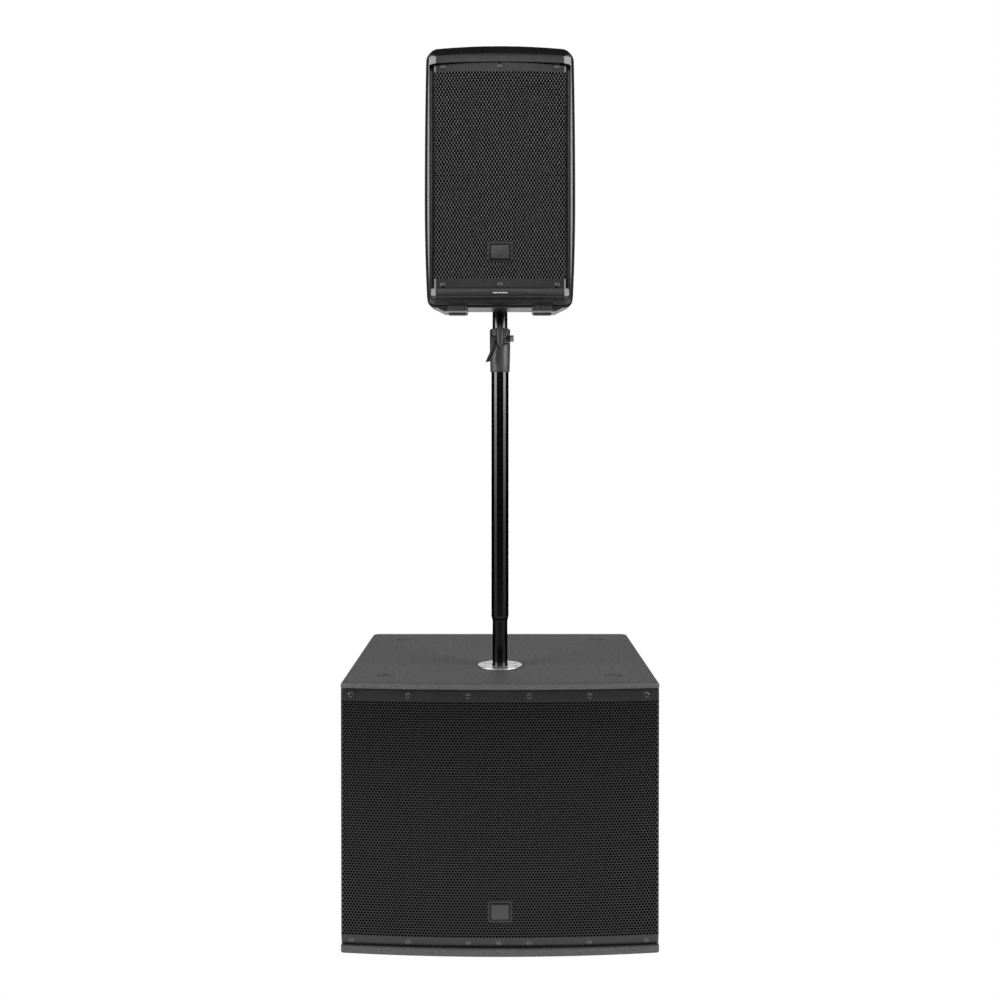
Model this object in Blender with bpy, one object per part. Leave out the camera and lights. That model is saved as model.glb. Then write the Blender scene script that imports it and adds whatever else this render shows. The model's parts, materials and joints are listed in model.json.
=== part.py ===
"""A two-way loudspeaker on a telescopic pole that stands in the cup of a subwoofer.

Metres, +Z up, front towards -Y, origin on the floor under the middle of the subwoofer.
"""

import math

import bmesh
import bpy
from mathutils import Matrix, Vector

GAP = 0.0003            # clearance between pieces that touch
SLIVER = 0.000002       # points closer than this after a cut are one point

# subwoofer box
SUB_WIDTH = 0.700
SUB_DEPTH = 0.650
SUB_TOP = 0.600
SUB_BOTTOM = 0.0055     # the box stands on feet of this height
SUB_BOW = 0.020         # how far the front bulges at its middle
BOARD = 0.0135          # panel thickness
SUB_FRONT = -SUB_DEPTH / 2
SUB_BACK = SUB_DEPTH / 2
SUB_SIDE = SUB_WIDTH / 2
SIDE_FRONT = SUB_FRONT + 0.0418          # front edge of the side boards
BAFFLE_FRONT = SUB_FRONT + 0.057
BAFFLE_THICK = 0.018
SUB_WOOFER_Z = 0.304
SUB_DRIVER_SCALE = 0.230 / 0.131         # 18 inch driver against the 10 inch one
PORT_X, PORT_Z, PORT_RADIUS = 0.275, 0.085, 0.045
FOOT_X, FOOT_Y, FOOT_RADIUS = 0.256, (-0.232, 0.232), 0.019
RECESS_RADIUS, RECESS_DEPTH = 0.0215, 0.003

# pole
POLE_Y = SUB_FRONT + 0.200
POLE_RADIUS = 0.0175                     # 35 mm tube
TUBE_RADIUS = 0.0202                     # 40 mm main tube
TUBE_BORE = 0.0183
CUP_FLOOR = 0.508
STEP_Z = 0.7135                          # where the 35 mm spigot meets the main tube
TUBE_TOP = 1.3540
COLLAR_BOTTOM, COLLAR_TOP = 1.2896, 1.3545
CLAMP_TOP = 1.3906
COLLAR_RADIUS = 0.0239
COLLAR_BORE = 0.0206
BOLT_Y, BOLT_Z = POLE_Y - 0.0350, 1.3656
BOLT_RADIUS = 0.0030
UPPER_BOTTOM, UPPER_TOP = 0.800, 1.500

# loudspeaker cabinet
SPEAKER_HALF = 0.1672                    # at its widest
WIDEST_Z = 1.655
TOP_BOW, BOTTOM_BOW = 0.034, 0.115       # how fast the sides pull in above and below
CROWN = 0.006                            # fall of the top edge towards the corners
SPEAKER_FRONT = POLE_Y - 0.157
SPEAKER_BACK = SPEAKER_FRONT + 0.303
SPEAKER_TOP = 2.000
UNDERSIDE = 1.4255                       # its flat front part
UNDERSIDE_RISE = 0.124                   # slope of the rest, up towards the back
SPEAKER_FEET = 1.4172
BEZEL_BOTTOM = 1.4316
WALL = 0.004
FLANGE = 0.0050                          # rim of the front shell against the rear shell
SHELL_JOINT = SPEAKER_FRONT + 0.0360     # plane where the two shells meet
RECESS_FLOOR = SPEAKER_FRONT + 0.0265    # front face of the moulded baffle
RISE_START = SHELL_JOINT + 0.076         # where the underside starts to rise
BOSS_RADIUS, BOSS_TOP = 0.0300, 0.0175   # seat of the pole socket inside the underside
CHEEK = 0.0080                           # side of the bezel at the foot of the grille
GRILLE_GAP = 0.0050                      # open slot between the grille and each cheek
GRILLE_LOW, GRILLE_HIGH = 1.4650, 1.9612
WOOFER_Z = 1.600
HORN_Z = 1.851
LIGHT_Z = 1.4545
SPEAKER_BADGE_Z = 1.5446
PORT_SMALL_X, PORT_SMALL_Z, PORT_SMALL_RADIUS = 0.126, 1.4905, 0.016
HANDLE_Y, HANDLE_LENGTH, HANDLE_WELL, HANDLE_DEPTH = -0.130, 0.150, 0.092, 0.052

# connection panels: (half width, low z, high z)
SPEAKER_PANEL = (0.094, 1.520, 1.885)
SUB_PANEL = (0.100, 0.130, 0.480)
PANEL_THICK = 0.003
SPEAKER_PANEL_FACE = SPEAKER_BACK - WALL - GAP
SUB_PANEL_FACE = SUB_BACK - 0.0115
KNOB_RADIUS, KNOB_LENGTH, SHAFT_RADIUS = 0.0080, 0.0105, 0.0030
BUTTON_RADIUS = 0.0040
JACK_RADIUS, JACK_FLANGE, JACK_HOLE, JACK_DEPTH = 0.0115, 0.0135, 0.0092, 0.018
INLET_WIDTH, INLET_HEIGHT, INLET_DEPTH = 0.028, 0.021, 0.020
ROCKER_WIDTH, ROCKER_HEIGHT, ROCKER_TILT = 0.013, 0.020, 7.0

# looks: colour, roughness, metallic
PAINT = ((0.045, 0.045, 0.047), 0.75, 0.0)
GRILLE = ((0.030, 0.030, 0.031), 0.55, 0.4)
PLASTIC = ((0.028, 0.028, 0.029), 0.45, 0.0)
RUBBER = ((0.012, 0.012, 0.012), 0.85, 0.0)
STEEL = ((0.62, 0.62, 0.63), 0.28, 1.0)
CHROME = ((0.78, 0.78, 0.79), 0.12, 1.0)
BLACK_STEEL = ((0.012, 0.012, 0.013), 0.22, 0.3)
PAPER = ((0.035, 0.034, 0.033), 0.80, 0.0)
MAGNET = ((0.10, 0.10, 0.105), 0.50, 0.6)
PANEL = ((0.055, 0.055, 0.058), 0.50, 0.6)
LAMP = ((0.90, 0.92, 0.95), 0.30, 0.0)
BADGE = ((0.040, 0.040, 0.041), 0.35, 0.2)


# ---------------------------------------------------------------- shapes

def place(u, v, w, axis):
    """A point with w along the axis and u, v across it."""
    return {"X": (w, u, v), "Y": (u, w, v), "Z": (u, v, w)}[axis]


def loft(rings, closed=False):
    """A skin through rings of points; a ring may be a single point. Ends are capped unless closed."""
    work = bmesh.new()
    made = [[work.verts.new(point) for point in ring] for ring in rings]
    pairs = list(zip(made, made[1:] + made[:1])) if closed else list(zip(made, made[1:]))
    for one, two in pairs:
        count = max(len(one), len(two))
        for i in range(count):
            j = (i + 1) % count
            if len(one) == 1:
                work.faces.new((one[0], two[j], two[i]))
            elif len(two) == 1:
                work.faces.new((one[i], one[j], two[0]))
            else:
                work.faces.new((one[i], one[j], two[j], two[i]))
    if not closed:
        for ring in (made[0], made[-1]):
            if len(ring) > 2:
                work.faces.new(ring)
    bmesh.ops.recalc_face_normals(work, faces=work.faces)
    mesh = bpy.data.meshes.new("shape")
    work.to_mesh(mesh)
    work.free()
    return mesh


def turned(profile, centre, axis="Y", segments=32):
    """A lathe shape from (radius, distance along the axis) points about a centre."""
    rings = []
    for radius, along in profile:
        if radius == 0.0:
            rings.append([place(0.0, 0.0, along, axis)])
            continue
        angles = [2 * math.pi * i / segments for i in range(segments)]
        rings.append([place(radius * math.cos(a), radius * math.sin(a), along, axis) for a in angles])
    mesh = loft(rings, closed=profile[0][0] > 0.0)
    mesh.transform(Matrix.Translation(centre))
    return mesh


def cylinder(centre, radius, start, end, axis="Y", segments=24):
    return turned([(0.0, start), (radius, start), (radius, end), (0.0, end)], centre, axis, segments)


def rounded_rectangle(width, height, radius, steps=3):
    """Corner arcs of a rectangle about the origin, anticlockwise from the lower right."""
    points = []
    for quarter, (sx, sy) in enumerate(((1, -1), (1, 1), (-1, 1), (-1, -1))):
        for i in range(steps + 1):
            angle = math.radians(-90 + 90 * quarter + 90 * i / steps)
            points.append((sx * (width / 2 - radius) + radius * math.cos(angle),
                           sy * (height / 2 - radius) + radius * math.sin(angle)))
    return points


def prism(outline, start, end, axis):
    return loft([[place(u, v, w, axis) for u, v in outline] for w in (start, end)])


def block(low, high):
    (x0, y0, z0), (x1, y1, z1) = low, high
    return prism([(x0, y0), (x1, y0), (x1, y1), (x0, y1)], z0, z1, "Z")


def moved(mesh, x=0.0, y=0.0, z=0.0):
    mesh.transform(Matrix.Translation((x, y, z)))
    return mesh


def combine(mesh, others, operation, solver):
    """The mesh after a boolean with each of the others."""
    base = bpy.data.objects.new("base", mesh)
    bpy.context.scene.collection.objects.link(base)
    tools = []
    for other in others:
        tool = bpy.data.objects.new("tool", other)
        bpy.context.scene.collection.objects.link(tool)
        modifier = base.modifiers.new("boolean", "BOOLEAN")
        modifier.operation = operation
        modifier.solver = solver
        modifier.object = tool
        tools.append(tool)
    depsgraph = bpy.context.evaluated_depsgraph_get()
    result = bpy.data.meshes.new_from_object(base.evaluated_get(depsgraph))
    for used in [base] + tools:
        bpy.data.objects.remove(used)
    work = bmesh.new()
    work.from_mesh(result)
    bmesh.ops.remove_doubles(work, verts=work.verts, dist=SLIVER)
    bmesh.ops.dissolve_degenerate(work, edges=work.edges, dist=SLIVER)
    bmesh.ops.triangulate(work, faces=work.faces)
    work.to_mesh(result)
    work.free()
    return result


def cut(mesh, *others, solver="EXACT"):
    return combine(mesh, others, "DIFFERENCE", solver)


def fuse(mesh, *others, solver="EXACT"):
    return combine(mesh, others, "UNION", solver)


def material(name, colour, roughness, metallic):
    made = bpy.data.materials.new(name)
    made.use_nodes = True
    shader = made.node_tree.nodes["Principled BSDF"]
    shader.inputs["Base Color"].default_value = (*colour, 1.0)
    shader.inputs["Roughness"].default_value = roughness
    shader.inputs["Metallic"].default_value = metallic
    return made


def piece(name, mesh, look, group, origin=(0.0, 0.0, 0.0)):
    """One named object, with its origin where its joint is."""
    mesh.transform(Matrix.Translation(-Vector(origin)))
    mesh.name = name
    mesh.materials.clear()
    mesh.materials.append(material(name, *look))
    mesh.shade_smooth()
    mesh.set_sharp_from_angle(angle=math.radians(35))
    made = bpy.data.objects.new(name, mesh)
    bpy.context.scene.collection.objects.link(made)
    made.parent = group
    made.location = Vector(origin) - group.location
    return made


def group(name, location):
    made = bpy.data.objects.new(name, None)
    made.location = location
    bpy.context.scene.collection.objects.link(made)
    return made


# ---------------------------------------------------------------- driver units

def arc(centre, radii, start, end, steps):
    """Points on an ellipse from one angle to another, in degrees."""
    points = []
    for i in range(steps + 1):
        angle = math.radians(start + (end - start) * i / steps)
        points.append((centre[0] + radii[0] * math.cos(angle), centre[1] + radii[1] * math.sin(angle)))
    return points


def driver(prefix, x, flange_front, z, scale, parent):
    """Basket, magnet, surround and cone of a driver; profiles are those of the 10 inch unit."""
    centre = (x, flange_front, z)
    sides = 24 if scale > 1.2 else 20

    def lathe(profile):
        return turned([(radius * scale, along * scale) for radius, along in profile], centre, "Y", sides)

    basket = [(0.1105, 0.0), (0.1310, 0.0), (0.1310, 0.0032), (0.1125, 0.0032), (0.1125, 0.0150),
              (0.0580, 0.0760), (0.0300, 0.0760), (0.0300, 0.0738), (0.0565, 0.0738), (0.1105, 0.0138)]
    magnet = [(0.0080, 0.0763), (0.0225, 0.0763), (0.0225, 0.0990), (0.0275, 0.0990), (0.0275, 0.0763),
              (0.0600, 0.0763), (0.0600, 0.1140), (0.0080, 0.1140)]
    roll = arc((0.1005, 0.0), (0.0060, 0.0070), 0, -180, 4)
    under = arc((0.1005, 0.0016), (0.0045, 0.0060), -180, 0, 4)
    surround = ([(0.1102, 0.0016), (0.1102, 0.0)] + roll + [(0.0928, 0.0), (0.0928, 0.0016)] + under)
    cone = [(0.0, 0.0355), (0.0120, 0.0368), (0.0220, 0.0412), (0.0300, 0.0478), (0.0925, 0.0015),
            (0.0925, 0.0040), (0.0257, 0.0540), (0.0257, 0.0890), (0.0243, 0.0890), (0.0243, 0.0520),
            (0.0120, 0.0410), (0.0, 0.0390)]
    piece(prefix + "_basket", lathe(basket), PAINT, parent)
    piece(prefix + "_magnet", lathe(magnet), MAGNET, parent)
    piece(prefix + "_surround", lathe(surround), RUBBER, parent)
    piece(prefix + "_cone", lathe(cone), PAPER, parent, origin=centre)


# ---------------------------------------------------------------- connection panel pieces

def knob(name, x, face, z, parent):
    """Turning knob with its shaft through the panel."""
    profile = [(0.0, -0.008), (SHAFT_RADIUS, -0.008), (SHAFT_RADIUS, 0.0008), (KNOB_RADIUS, 0.0008),
               (KNOB_RADIUS * 0.88, KNOB_LENGTH), (0.0, KNOB_LENGTH)]
    body = turned(profile, (x, face, z), "Y", 20)
    pointer = block((x - 0.0006, face + 0.006, z + KNOB_RADIUS * 0.45),
                    (x + 0.0006, face + KNOB_LENGTH + 0.0006, z + KNOB_RADIUS * 0.93))
    piece(name, fuse(body, pointer), PLASTIC, parent, origin=(x, face, z))


def button(name, x, face, z, parent):
    body = cylinder((x, face, z), BUTTON_RADIUS, -0.009, 0.0035, "Y", 16)
    piece(name, body, PLASTIC, parent, origin=(x, face, z))


def jack(name, x, face, z, parent):
    """Round panel socket: a flanged cup that is open to the rear of the cabinet."""
    profile = [(0.0, -JACK_DEPTH), (JACK_RADIUS, -JACK_DEPTH), (JACK_RADIUS, GAP), (JACK_FLANGE, GAP),
               (JACK_FLANGE, 0.002), (JACK_HOLE, 0.002), (JACK_HOLE, 0.003 - JACK_DEPTH),
               (0.0, 0.003 - JACK_DEPTH)]
    piece(name, turned(profile, (x, face, z), "Y", 20), PLASTIC, parent)


def inlet(name, x, face, z, parent):
    """Mains inlet: a flanged rectangular cup."""
    flange = prism(rounded_rectangle(INLET_WIDTH + 0.006, INLET_HEIGHT + 0.006, 0.003), GAP, 0.002, "Y")
    body = prism(rounded_rectangle(INLET_WIDTH, INLET_HEIGHT, 0.003), -INLET_DEPTH, 0.001, "Y")
    hollow = prism(rounded_rectangle(INLET_WIDTH - 0.004, INLET_HEIGHT - 0.004, 0.003),
                   0.003 - INLET_DEPTH, 0.004, "Y")
    piece(name, moved(cut(fuse(body, flange), hollow), x, face, z), PLASTIC, parent)


def rocker(name, x, face, z, parent):
    """Rocker switch that tips about a pin across the panel; its upper half is pressed in."""
    half = ROCKER_HEIGHT / 2
    outline = [(-0.0070, -half * 0.55), (-0.0070, half * 0.55), (0.0030, half), (0.0040, half * 0.85),
               (0.0018, 0.0), (0.0040, -half * 0.85), (0.0030, -half)]
    body = prism(outline, -ROCKER_WIDTH / 2, ROCKER_WIDTH / 2, "X")
    body.transform(Matrix.Rotation(math.radians(ROCKER_TILT), 4, "X"))
    piece(name, moved(body, x, face, z), PLASTIC, parent, origin=(x, face, z))


def panel_plate(name, panel, face, holes, inlet_at, rocker_at, parent):
    """Metal plate with a hole for everything that passes through it."""
    half, low, high = panel
    plate = moved(prism(rounded_rectangle(2 * half, high - low, 0.006), -PANEL_THICK, 0.0, "Y"),
                  0.0, face, (low + high) / 2)
    drills = [cylinder((x, face, z), radius, -0.010, 0.010, "Y", 16) for x, z, radius in holes]
    mains = moved(prism(rounded_rectangle(INLET_WIDTH + 0.0008, INLET_HEIGHT + 0.0008, 0.003),
                        -0.010, 0.010, "Y"), inlet_at[0], face, inlet_at[1])
    slot = moved(prism(rounded_rectangle(ROCKER_WIDTH + 0.0016, ROCKER_HEIGHT + 0.0030, 0.001),
                       -0.010, 0.010, "Y"), rocker_at[0], face, rocker_at[1])
    piece(name, cut(plate, *drills, mains, slot), PANEL, parent)


# ---------------------------------------------------------------- loudspeaker

def half_width(z):
    """Half the width of the cabinet at a height: its sides bow out at WIDEST_Z."""
    bow = TOP_BOW if z > WIDEST_Z else BOTTOM_BOW
    return SPEAKER_HALF - bow * (z - WIDEST_Z) ** 2


def underside(y):
    """Height of the cabinet's underside at depth y."""
    return UNDERSIDE + UNDERSIDE_RISE * max(0.0, y - RISE_START)


def cabinet_outline(y, side, top, bottom, round_top, round_bottom, taper=1.0):
    """Front outline of the cabinet at depth y, pulled in by side, between heights bottom and top."""

    def edge(z):
        return (half_width(z) - side) * taper

    low, high = bottom + round_bottom, top - CROWN - round_top
    right = []
    for i in range(5):
        angle = math.radians(-90 + 22.5 * i)
        right.append((edge(low) - round_bottom + round_bottom * math.cos(angle),
                      low + round_bottom * math.sin(angle)))
    right += [(edge(z), z) for z in (low + (high - low) * i / 5 for i in range(1, 5))]
    for i in range(5):
        angle = math.radians(22.5 * i)
        right.append((edge(high) - round_top + round_top * math.cos(angle),
                      high + round_top * math.sin(angle)))
    last_x = right[-1][0]
    crown = [(last_x * k, top - CROWN * k * k) for k in (0.66, 0.33)]
    left = [(-x, z) for x, z in reversed(right + crown)]
    return [(x, y, z) for x, z in right + crown + [(0.0, top)] + left]


def rear_shell(parent):
    """Hollow moulding behind the joint, with a handle well on top and an opening for the panel."""
    back = SPEAKER_BACK
    # depth, side inset, top, bottom, top radius, bottom radius, taper
    stations = [(SHELL_JOINT, 0.0, SPEAKER_TOP, UNDERSIDE, 0.022, 0.018, 1.00),
                (SHELL_JOINT + 0.040, 0.0, SPEAKER_TOP, UNDERSIDE, 0.024, 0.022, 1.00),
                (RISE_START, 0.0, SPEAKER_TOP - 0.004, UNDERSIDE, 0.026, 0.028, 0.98),
                (POLE_Y + 0.055, 0.0, SPEAKER_TOP - 0.022, underside(POLE_Y + 0.055), 0.028, 0.034, 0.84),
                (back - 0.020, 0.0, SPEAKER_TOP - 0.042, underside(back - 0.020), 0.028, 0.034, 0.70),
                (back - 0.005, 0.0, SPEAKER_TOP - 0.052, UNDERSIDE + 0.030, 0.026, 0.030, 0.66),
                (back, 0.003, SPEAKER_TOP - 0.058, UNDERSIDE + 0.036, 0.022, 0.026, 0.65)]
    outer = loft([cabinet_outline(*station) for station in stations])
    hollow = []
    for y, side, top, bottom, round_top, round_bottom, taper in stations:
        hollow.append(cabinet_outline(min(y, back - WALL), side + WALL, top - WALL, bottom + WALL,
                                      round_top - WALL / 2, round_bottom - WALL / 2, taper))
    first = stations[0]
    mouth = cabinet_outline(SHELL_JOINT - 0.010, first[1] + WALL, first[2] - WALL, first[3] + WALL,
                            first[4] - WALL / 2, first[5] - WALL / 2)
    rings = [mouth] + [ring for ring in hollow[:-2]]
    rings.append(cabinet_outline(back - WALL, WALL, SPEAKER_TOP - 0.055, UNDERSIDE + 0.034,
                                 0.022, 0.026, 0.66))
    shell = cut(outer, loft(rings))
    well_top = SPEAKER_TOP - 0.0120
    well_low = well_top - HANDLE_DEPTH
    well = moved(prism(rounded_rectangle(HANDLE_LENGTH, HANDLE_WELL, 0.014), well_low, well_top, "Z"),
                 0.0, HANDLE_Y)
    space = moved(prism(rounded_rectangle(HANDLE_LENGTH - 2 * WALL, HANDLE_WELL - 2 * WALL, 0.010),
                        well_low + WALL, SPEAKER_TOP + 0.02, "Z"), 0.0, HANDLE_Y)
    shell = cut(fuse(shell, well), space)
    half, low, high = SPEAKER_PANEL
    lap = 0.007
    opening = moved(prism(rounded_rectangle(2 * (half - lap), high - low - 2 * lap, 0.006),
                          -0.02, 0.02, "Y"), 0.0, back, (low + high) / 2)
    rim = [(BOSS_RADIUS * math.cos(a), POLE_Y + BOSS_RADIUS * math.sin(a))
           for a in (2 * math.pi * i / 24 for i in range(24))]
    boss = loft([[(x, y, underside(y) + 0.0020) for x, y in rim],
                 [(x, y, UNDERSIDE + BOSS_TOP) for x, y in rim]])
    bore = cylinder((0.0, POLE_Y, UNDERSIDE), 0.0222, -0.010, 0.030, "Z", 24)
    piece("speaker_rear_shell", cut(fuse(shell, boss), opening, bore), PLASTIC, parent)


def handle(parent):
    """Grip bar across the well, level with the top of the cabinet."""
    half = HANDLE_LENGTH / 2 - WALL - GAP
    top = SPEAKER_TOP - 0.0115
    outline = [(0.015 * math.cos(a) + HANDLE_Y, 0.0105 * math.sin(a) + top - 0.0105)
               for a in (2 * math.pi * i / 12 for i in range(12))]
    piece("speaker_handle", prism(outline, -half, half, "X"), PLASTIC, parent)


def front_shell(parent):
    """Bezel and baffle in one moulding, recessed for the grille."""
    face = SPEAKER_FRONT
    stations = [(SHELL_JOINT - GAP, 0.0, SPEAKER_TOP, UNDERSIDE, 0.022, 0.018),
                (SHELL_JOINT - FLANGE, 0.0, SPEAKER_TOP, UNDERSIDE, 0.022, 0.018),
                (SHELL_JOINT - FLANGE - 0.001, 0.0, SPEAKER_TOP, BEZEL_BOTTOM, 0.022, 0.018),
                (face + 0.017, 0.0, SPEAKER_TOP, BEZEL_BOTTOM, 0.022, 0.018),
                (face + 0.009, 0.001, SPEAKER_TOP - 0.003, BEZEL_BOTTOM + 0.002, 0.022, 0.018),
                (face + 0.003, 0.002, SPEAKER_TOP - 0.009, BEZEL_BOTTOM + 0.005, 0.020, 0.017),
                (face, 0.0035, SPEAKER_TOP - 0.016, BEZEL_BOTTOM + 0.011, 0.018, 0.016)]
    shell = loft([cabinet_outline(*station) for station in stations])
    half = half_width(GRILLE_LOW) - CHEEK
    recess = block((-half, face - 0.010, GRILLE_LOW), (half, RECESS_FLOOR, GRILLE_HIGH))
    woofer = cylinder((0.0, face, WOOFER_Z), 0.1160, 0.010, 0.060, "Y", 32)
    horn = moved(prism(rounded_rectangle(0.236, 0.180, 0.020), 0.010, 0.060, "Y"), 0.0, face, HORN_Z)
    lamp = block((-0.0170, face - 0.010, LIGHT_Z - 0.0018), (0.0170, face + 0.0030, LIGHT_Z + 0.0018))
    shell = cut(shell, recess, woofer, horn, lamp)
    for side in (-1, 1):
        spot = (side * PORT_SMALL_X, face, PORT_SMALL_Z)
        tube = cylinder(spot, PORT_SMALL_RADIUS + 0.002, 0.0300, 0.075, "Y", 20)
        bore = cylinder(spot, PORT_SMALL_RADIUS, 0.010, 0.090, "Y", 20)
        shell = cut(fuse(shell, tube), bore)
    piece("speaker_front_shell", shell, PLASTIC, parent)


def bowed_sheet(half, front, bow, back, thickness, low, high, bend, steps):
    """Grille sheet: bowed across its width, with its side edges folded straight back."""

    def edge(inset):
        width, lead = half - inset, front + inset
        middle = [(width - bend) * (1 - 2 * i / steps) for i in range(steps + 1)]
        side_y = lead + bow + bend
        curve = [(width, back), (width, side_y)]
        curve += [(width - bend * (1 - math.cos(a)), side_y - bend * math.sin(a))
                  for a in (math.radians(30), math.radians(60))]
        curve += [(x, lead + bow * (x / (width - bend)) ** 2) for x in middle]
        curve += [(-x, y) for x, y in reversed(curve[:4])]
        return curve

    outline = edge(0.0) + list(reversed(edge(thickness)))
    return prism(outline, low, high, "Z")


def horn(parent):
    """Waveguide: a flanged flare from a rounded rectangle down to the round throat."""
    front = RECESS_FLOOR - GAP - 0.0032
    steps = 5
    throat_y = front + 0.085

    def ring(width, height, radius, y):
        return [(u, y, HORN_Z + v) for u, v in rounded_rectangle(width, height, radius, steps)]

    def flare(share, wall):
        """Section part of the way from the mouth (0) to the throat (1)."""
        ease = 1 - (1 - share) ** 2.2
        width = 0.222 + (0.026 - 0.222) * ease + 2 * wall
        height = 0.166 + (0.026 - 0.166) * ease + 2 * wall
        radius = 0.018 + (0.0125 - 0.018) * share + wall
        return ring(width, height, min(radius, height / 2 - 0.0002), front + 0.085 * share)

    shares = (0.25, 0.5, 0.75)
    rings = [ring(0.254, 0.200, 0.016, front), ring(0.254, 0.200, 0.016, front + 0.0032)]
    rings += [ring(0.230, 0.174, 0.020, front + 0.0032)]
    rings += [flare(share, 0.003) for share in shares]
    rings += [ring(0.034, 0.034, 0.0168, throat_y), ring(0.0254, 0.0254, 0.0125, throat_y)]
    rings += [flare(share, 0.0) for share in reversed(shares)]
    rings += [ring(0.222, 0.166, 0.018, front)]
    piece("horn_waveguide", loft(rings, closed=True), PLASTIC, parent)
    profile = [(0.0, 0.015), (0.0125, 0.015), (0.0125, GAP), (0.0450, GAP), (0.0450, 0.030),
               (0.0380, 0.046), (0.0, 0.046)]
    piece("compression_driver", turned(profile, (0.0, throat_y, HORN_Z), "Y", 24), MAGNET, parent)


def foot_block(name, x, y, width, depth, parent):
    """Rubber foot under the cabinet: a wide block above a smaller pad."""
    low = SPEAKER_FEET
    levels = ((None, 1.0), (low + 0.0040, 1.0), (low + 0.0034, 0.80), (low + 0.0008, 0.80), (low, 0.76))
    rings = [[(x + u, y + v, underside(y + v) - GAP if z is None else z)
              for u, v in rounded_rectangle(width * k, depth * k, 0.006 * k)] for z, k in levels]
    piece(name, loft(rings), RUBBER, parent)


def speaker_socket(parent):
    """Cup under the cabinet that the pole's upper tube stands in."""
    seat, roof = BOSS_TOP + GAP, UPPER_TOP + GAP - UNDERSIDE
    profile = [(0.0, roof + 0.004), (0.0215, roof + 0.004), (0.0215, seat + 0.0030),
               (0.0290, seat + 0.0030), (0.0290, seat), (0.0215, seat), (0.0215, 0.0070),
               (0.0179, 0.0070), (0.0179, roof), (0.0, roof)]
    centre = (0.0, POLE_Y, UNDERSIDE)
    piece("speaker_pole_socket", turned(profile, centre, "Z", 24), BLACK_STEEL, parent)


def speaker_panel(parent):
    face = SPEAKER_PANEL_FACE
    half, low, high = SPEAKER_PANEL
    knobs = ((-0.045, 1.655), (0.045, 1.655))
    eq = (0.0, 1.655)
    jacks = ((-0.045, 1.610), (0.045, 1.610), (0.045, 1.560))
    mains, switch = (-0.050, 1.560), (-0.004, 1.560)
    holes = [(x, z, SHAFT_RADIUS + 0.0004) for x, z in knobs]
    holes += [(eq[0], eq[1], BUTTON_RADIUS + 0.0004)]
    holes += [(x, z, JACK_RADIUS + 0.0004) for x, z in jacks]
    panel_plate("speaker_amp_panel", SPEAKER_PANEL, face, holes, mains, switch, parent)
    for number, (x, z) in enumerate(knobs, 1):
        knob(f"gain_knob_{number}", x, face, z, parent)
    button("eq_button", eq[0], face, eq[1], parent)
    for name, (x, z) in zip(("input_jack_1", "input_jack_2", "thru_jack"), jacks):
        jack(name, x, face, z, parent)
    inlet("speaker_mains_inlet", mains[0], face, mains[1], parent)
    rocker("speaker_power_switch", switch[0], face, switch[1], parent)
    rear = face - PANEL_THICK - GAP
    module = block((-0.080, rear - 0.090, 1.685), (0.080, rear, high - 0.012))
    piece("speaker_amp_module", module, MAGNET, parent)


def loudspeaker():
    parent = group("loudspeaker", (0.0, POLE_Y, UNDERSIDE))
    front_shell(parent)
    rear_shell(parent)
    handle(parent)
    half = half_width(GRILLE_LOW) - CHEEK - GRILLE_GAP
    sheet = bowed_sheet(half, SPEAKER_FRONT + 0.0030, 0.0070, RECESS_FLOOR - GAP, 0.0018,
                        GRILLE_LOW + 0.0004, GRILLE_HIGH - 0.0004, 0.0050, 12)
    piece("speaker_grille", sheet, GRILLE, parent)
    plate = moved(prism(rounded_rectangle(0.046, 0.036, 0.003), 0.0002, 0.0024, "Y"),
                  0.0, SPEAKER_FRONT, SPEAKER_BADGE_Z)
    piece("speaker_badge", plate, BADGE, parent)
    lamp = block((-0.0166, SPEAKER_FRONT + 0.0002, LIGHT_Z - 0.0014),
                 (0.0166, SPEAKER_FRONT + 0.0026, LIGHT_Z + 0.0014))
    piece("power_light", lamp, LAMP, parent)
    driver("woofer", 0.0, RECESS_FLOOR - GAP - 0.0032, WOOFER_Z, 1.0, parent)
    horn(parent)
    speaker_panel(parent)
    speaker_socket(parent)
    for side, name in ((-1, "left"), (1, "right")):
        foot_block(f"speaker_foot_{name}", side * 0.0965, POLE_Y - 0.070, 0.052, 0.044, parent)
    foot_block("speaker_foot_rear", 0.0, POLE_Y + 0.092, 0.034, 0.028, parent)


# ---------------------------------------------------------------- pole

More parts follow.
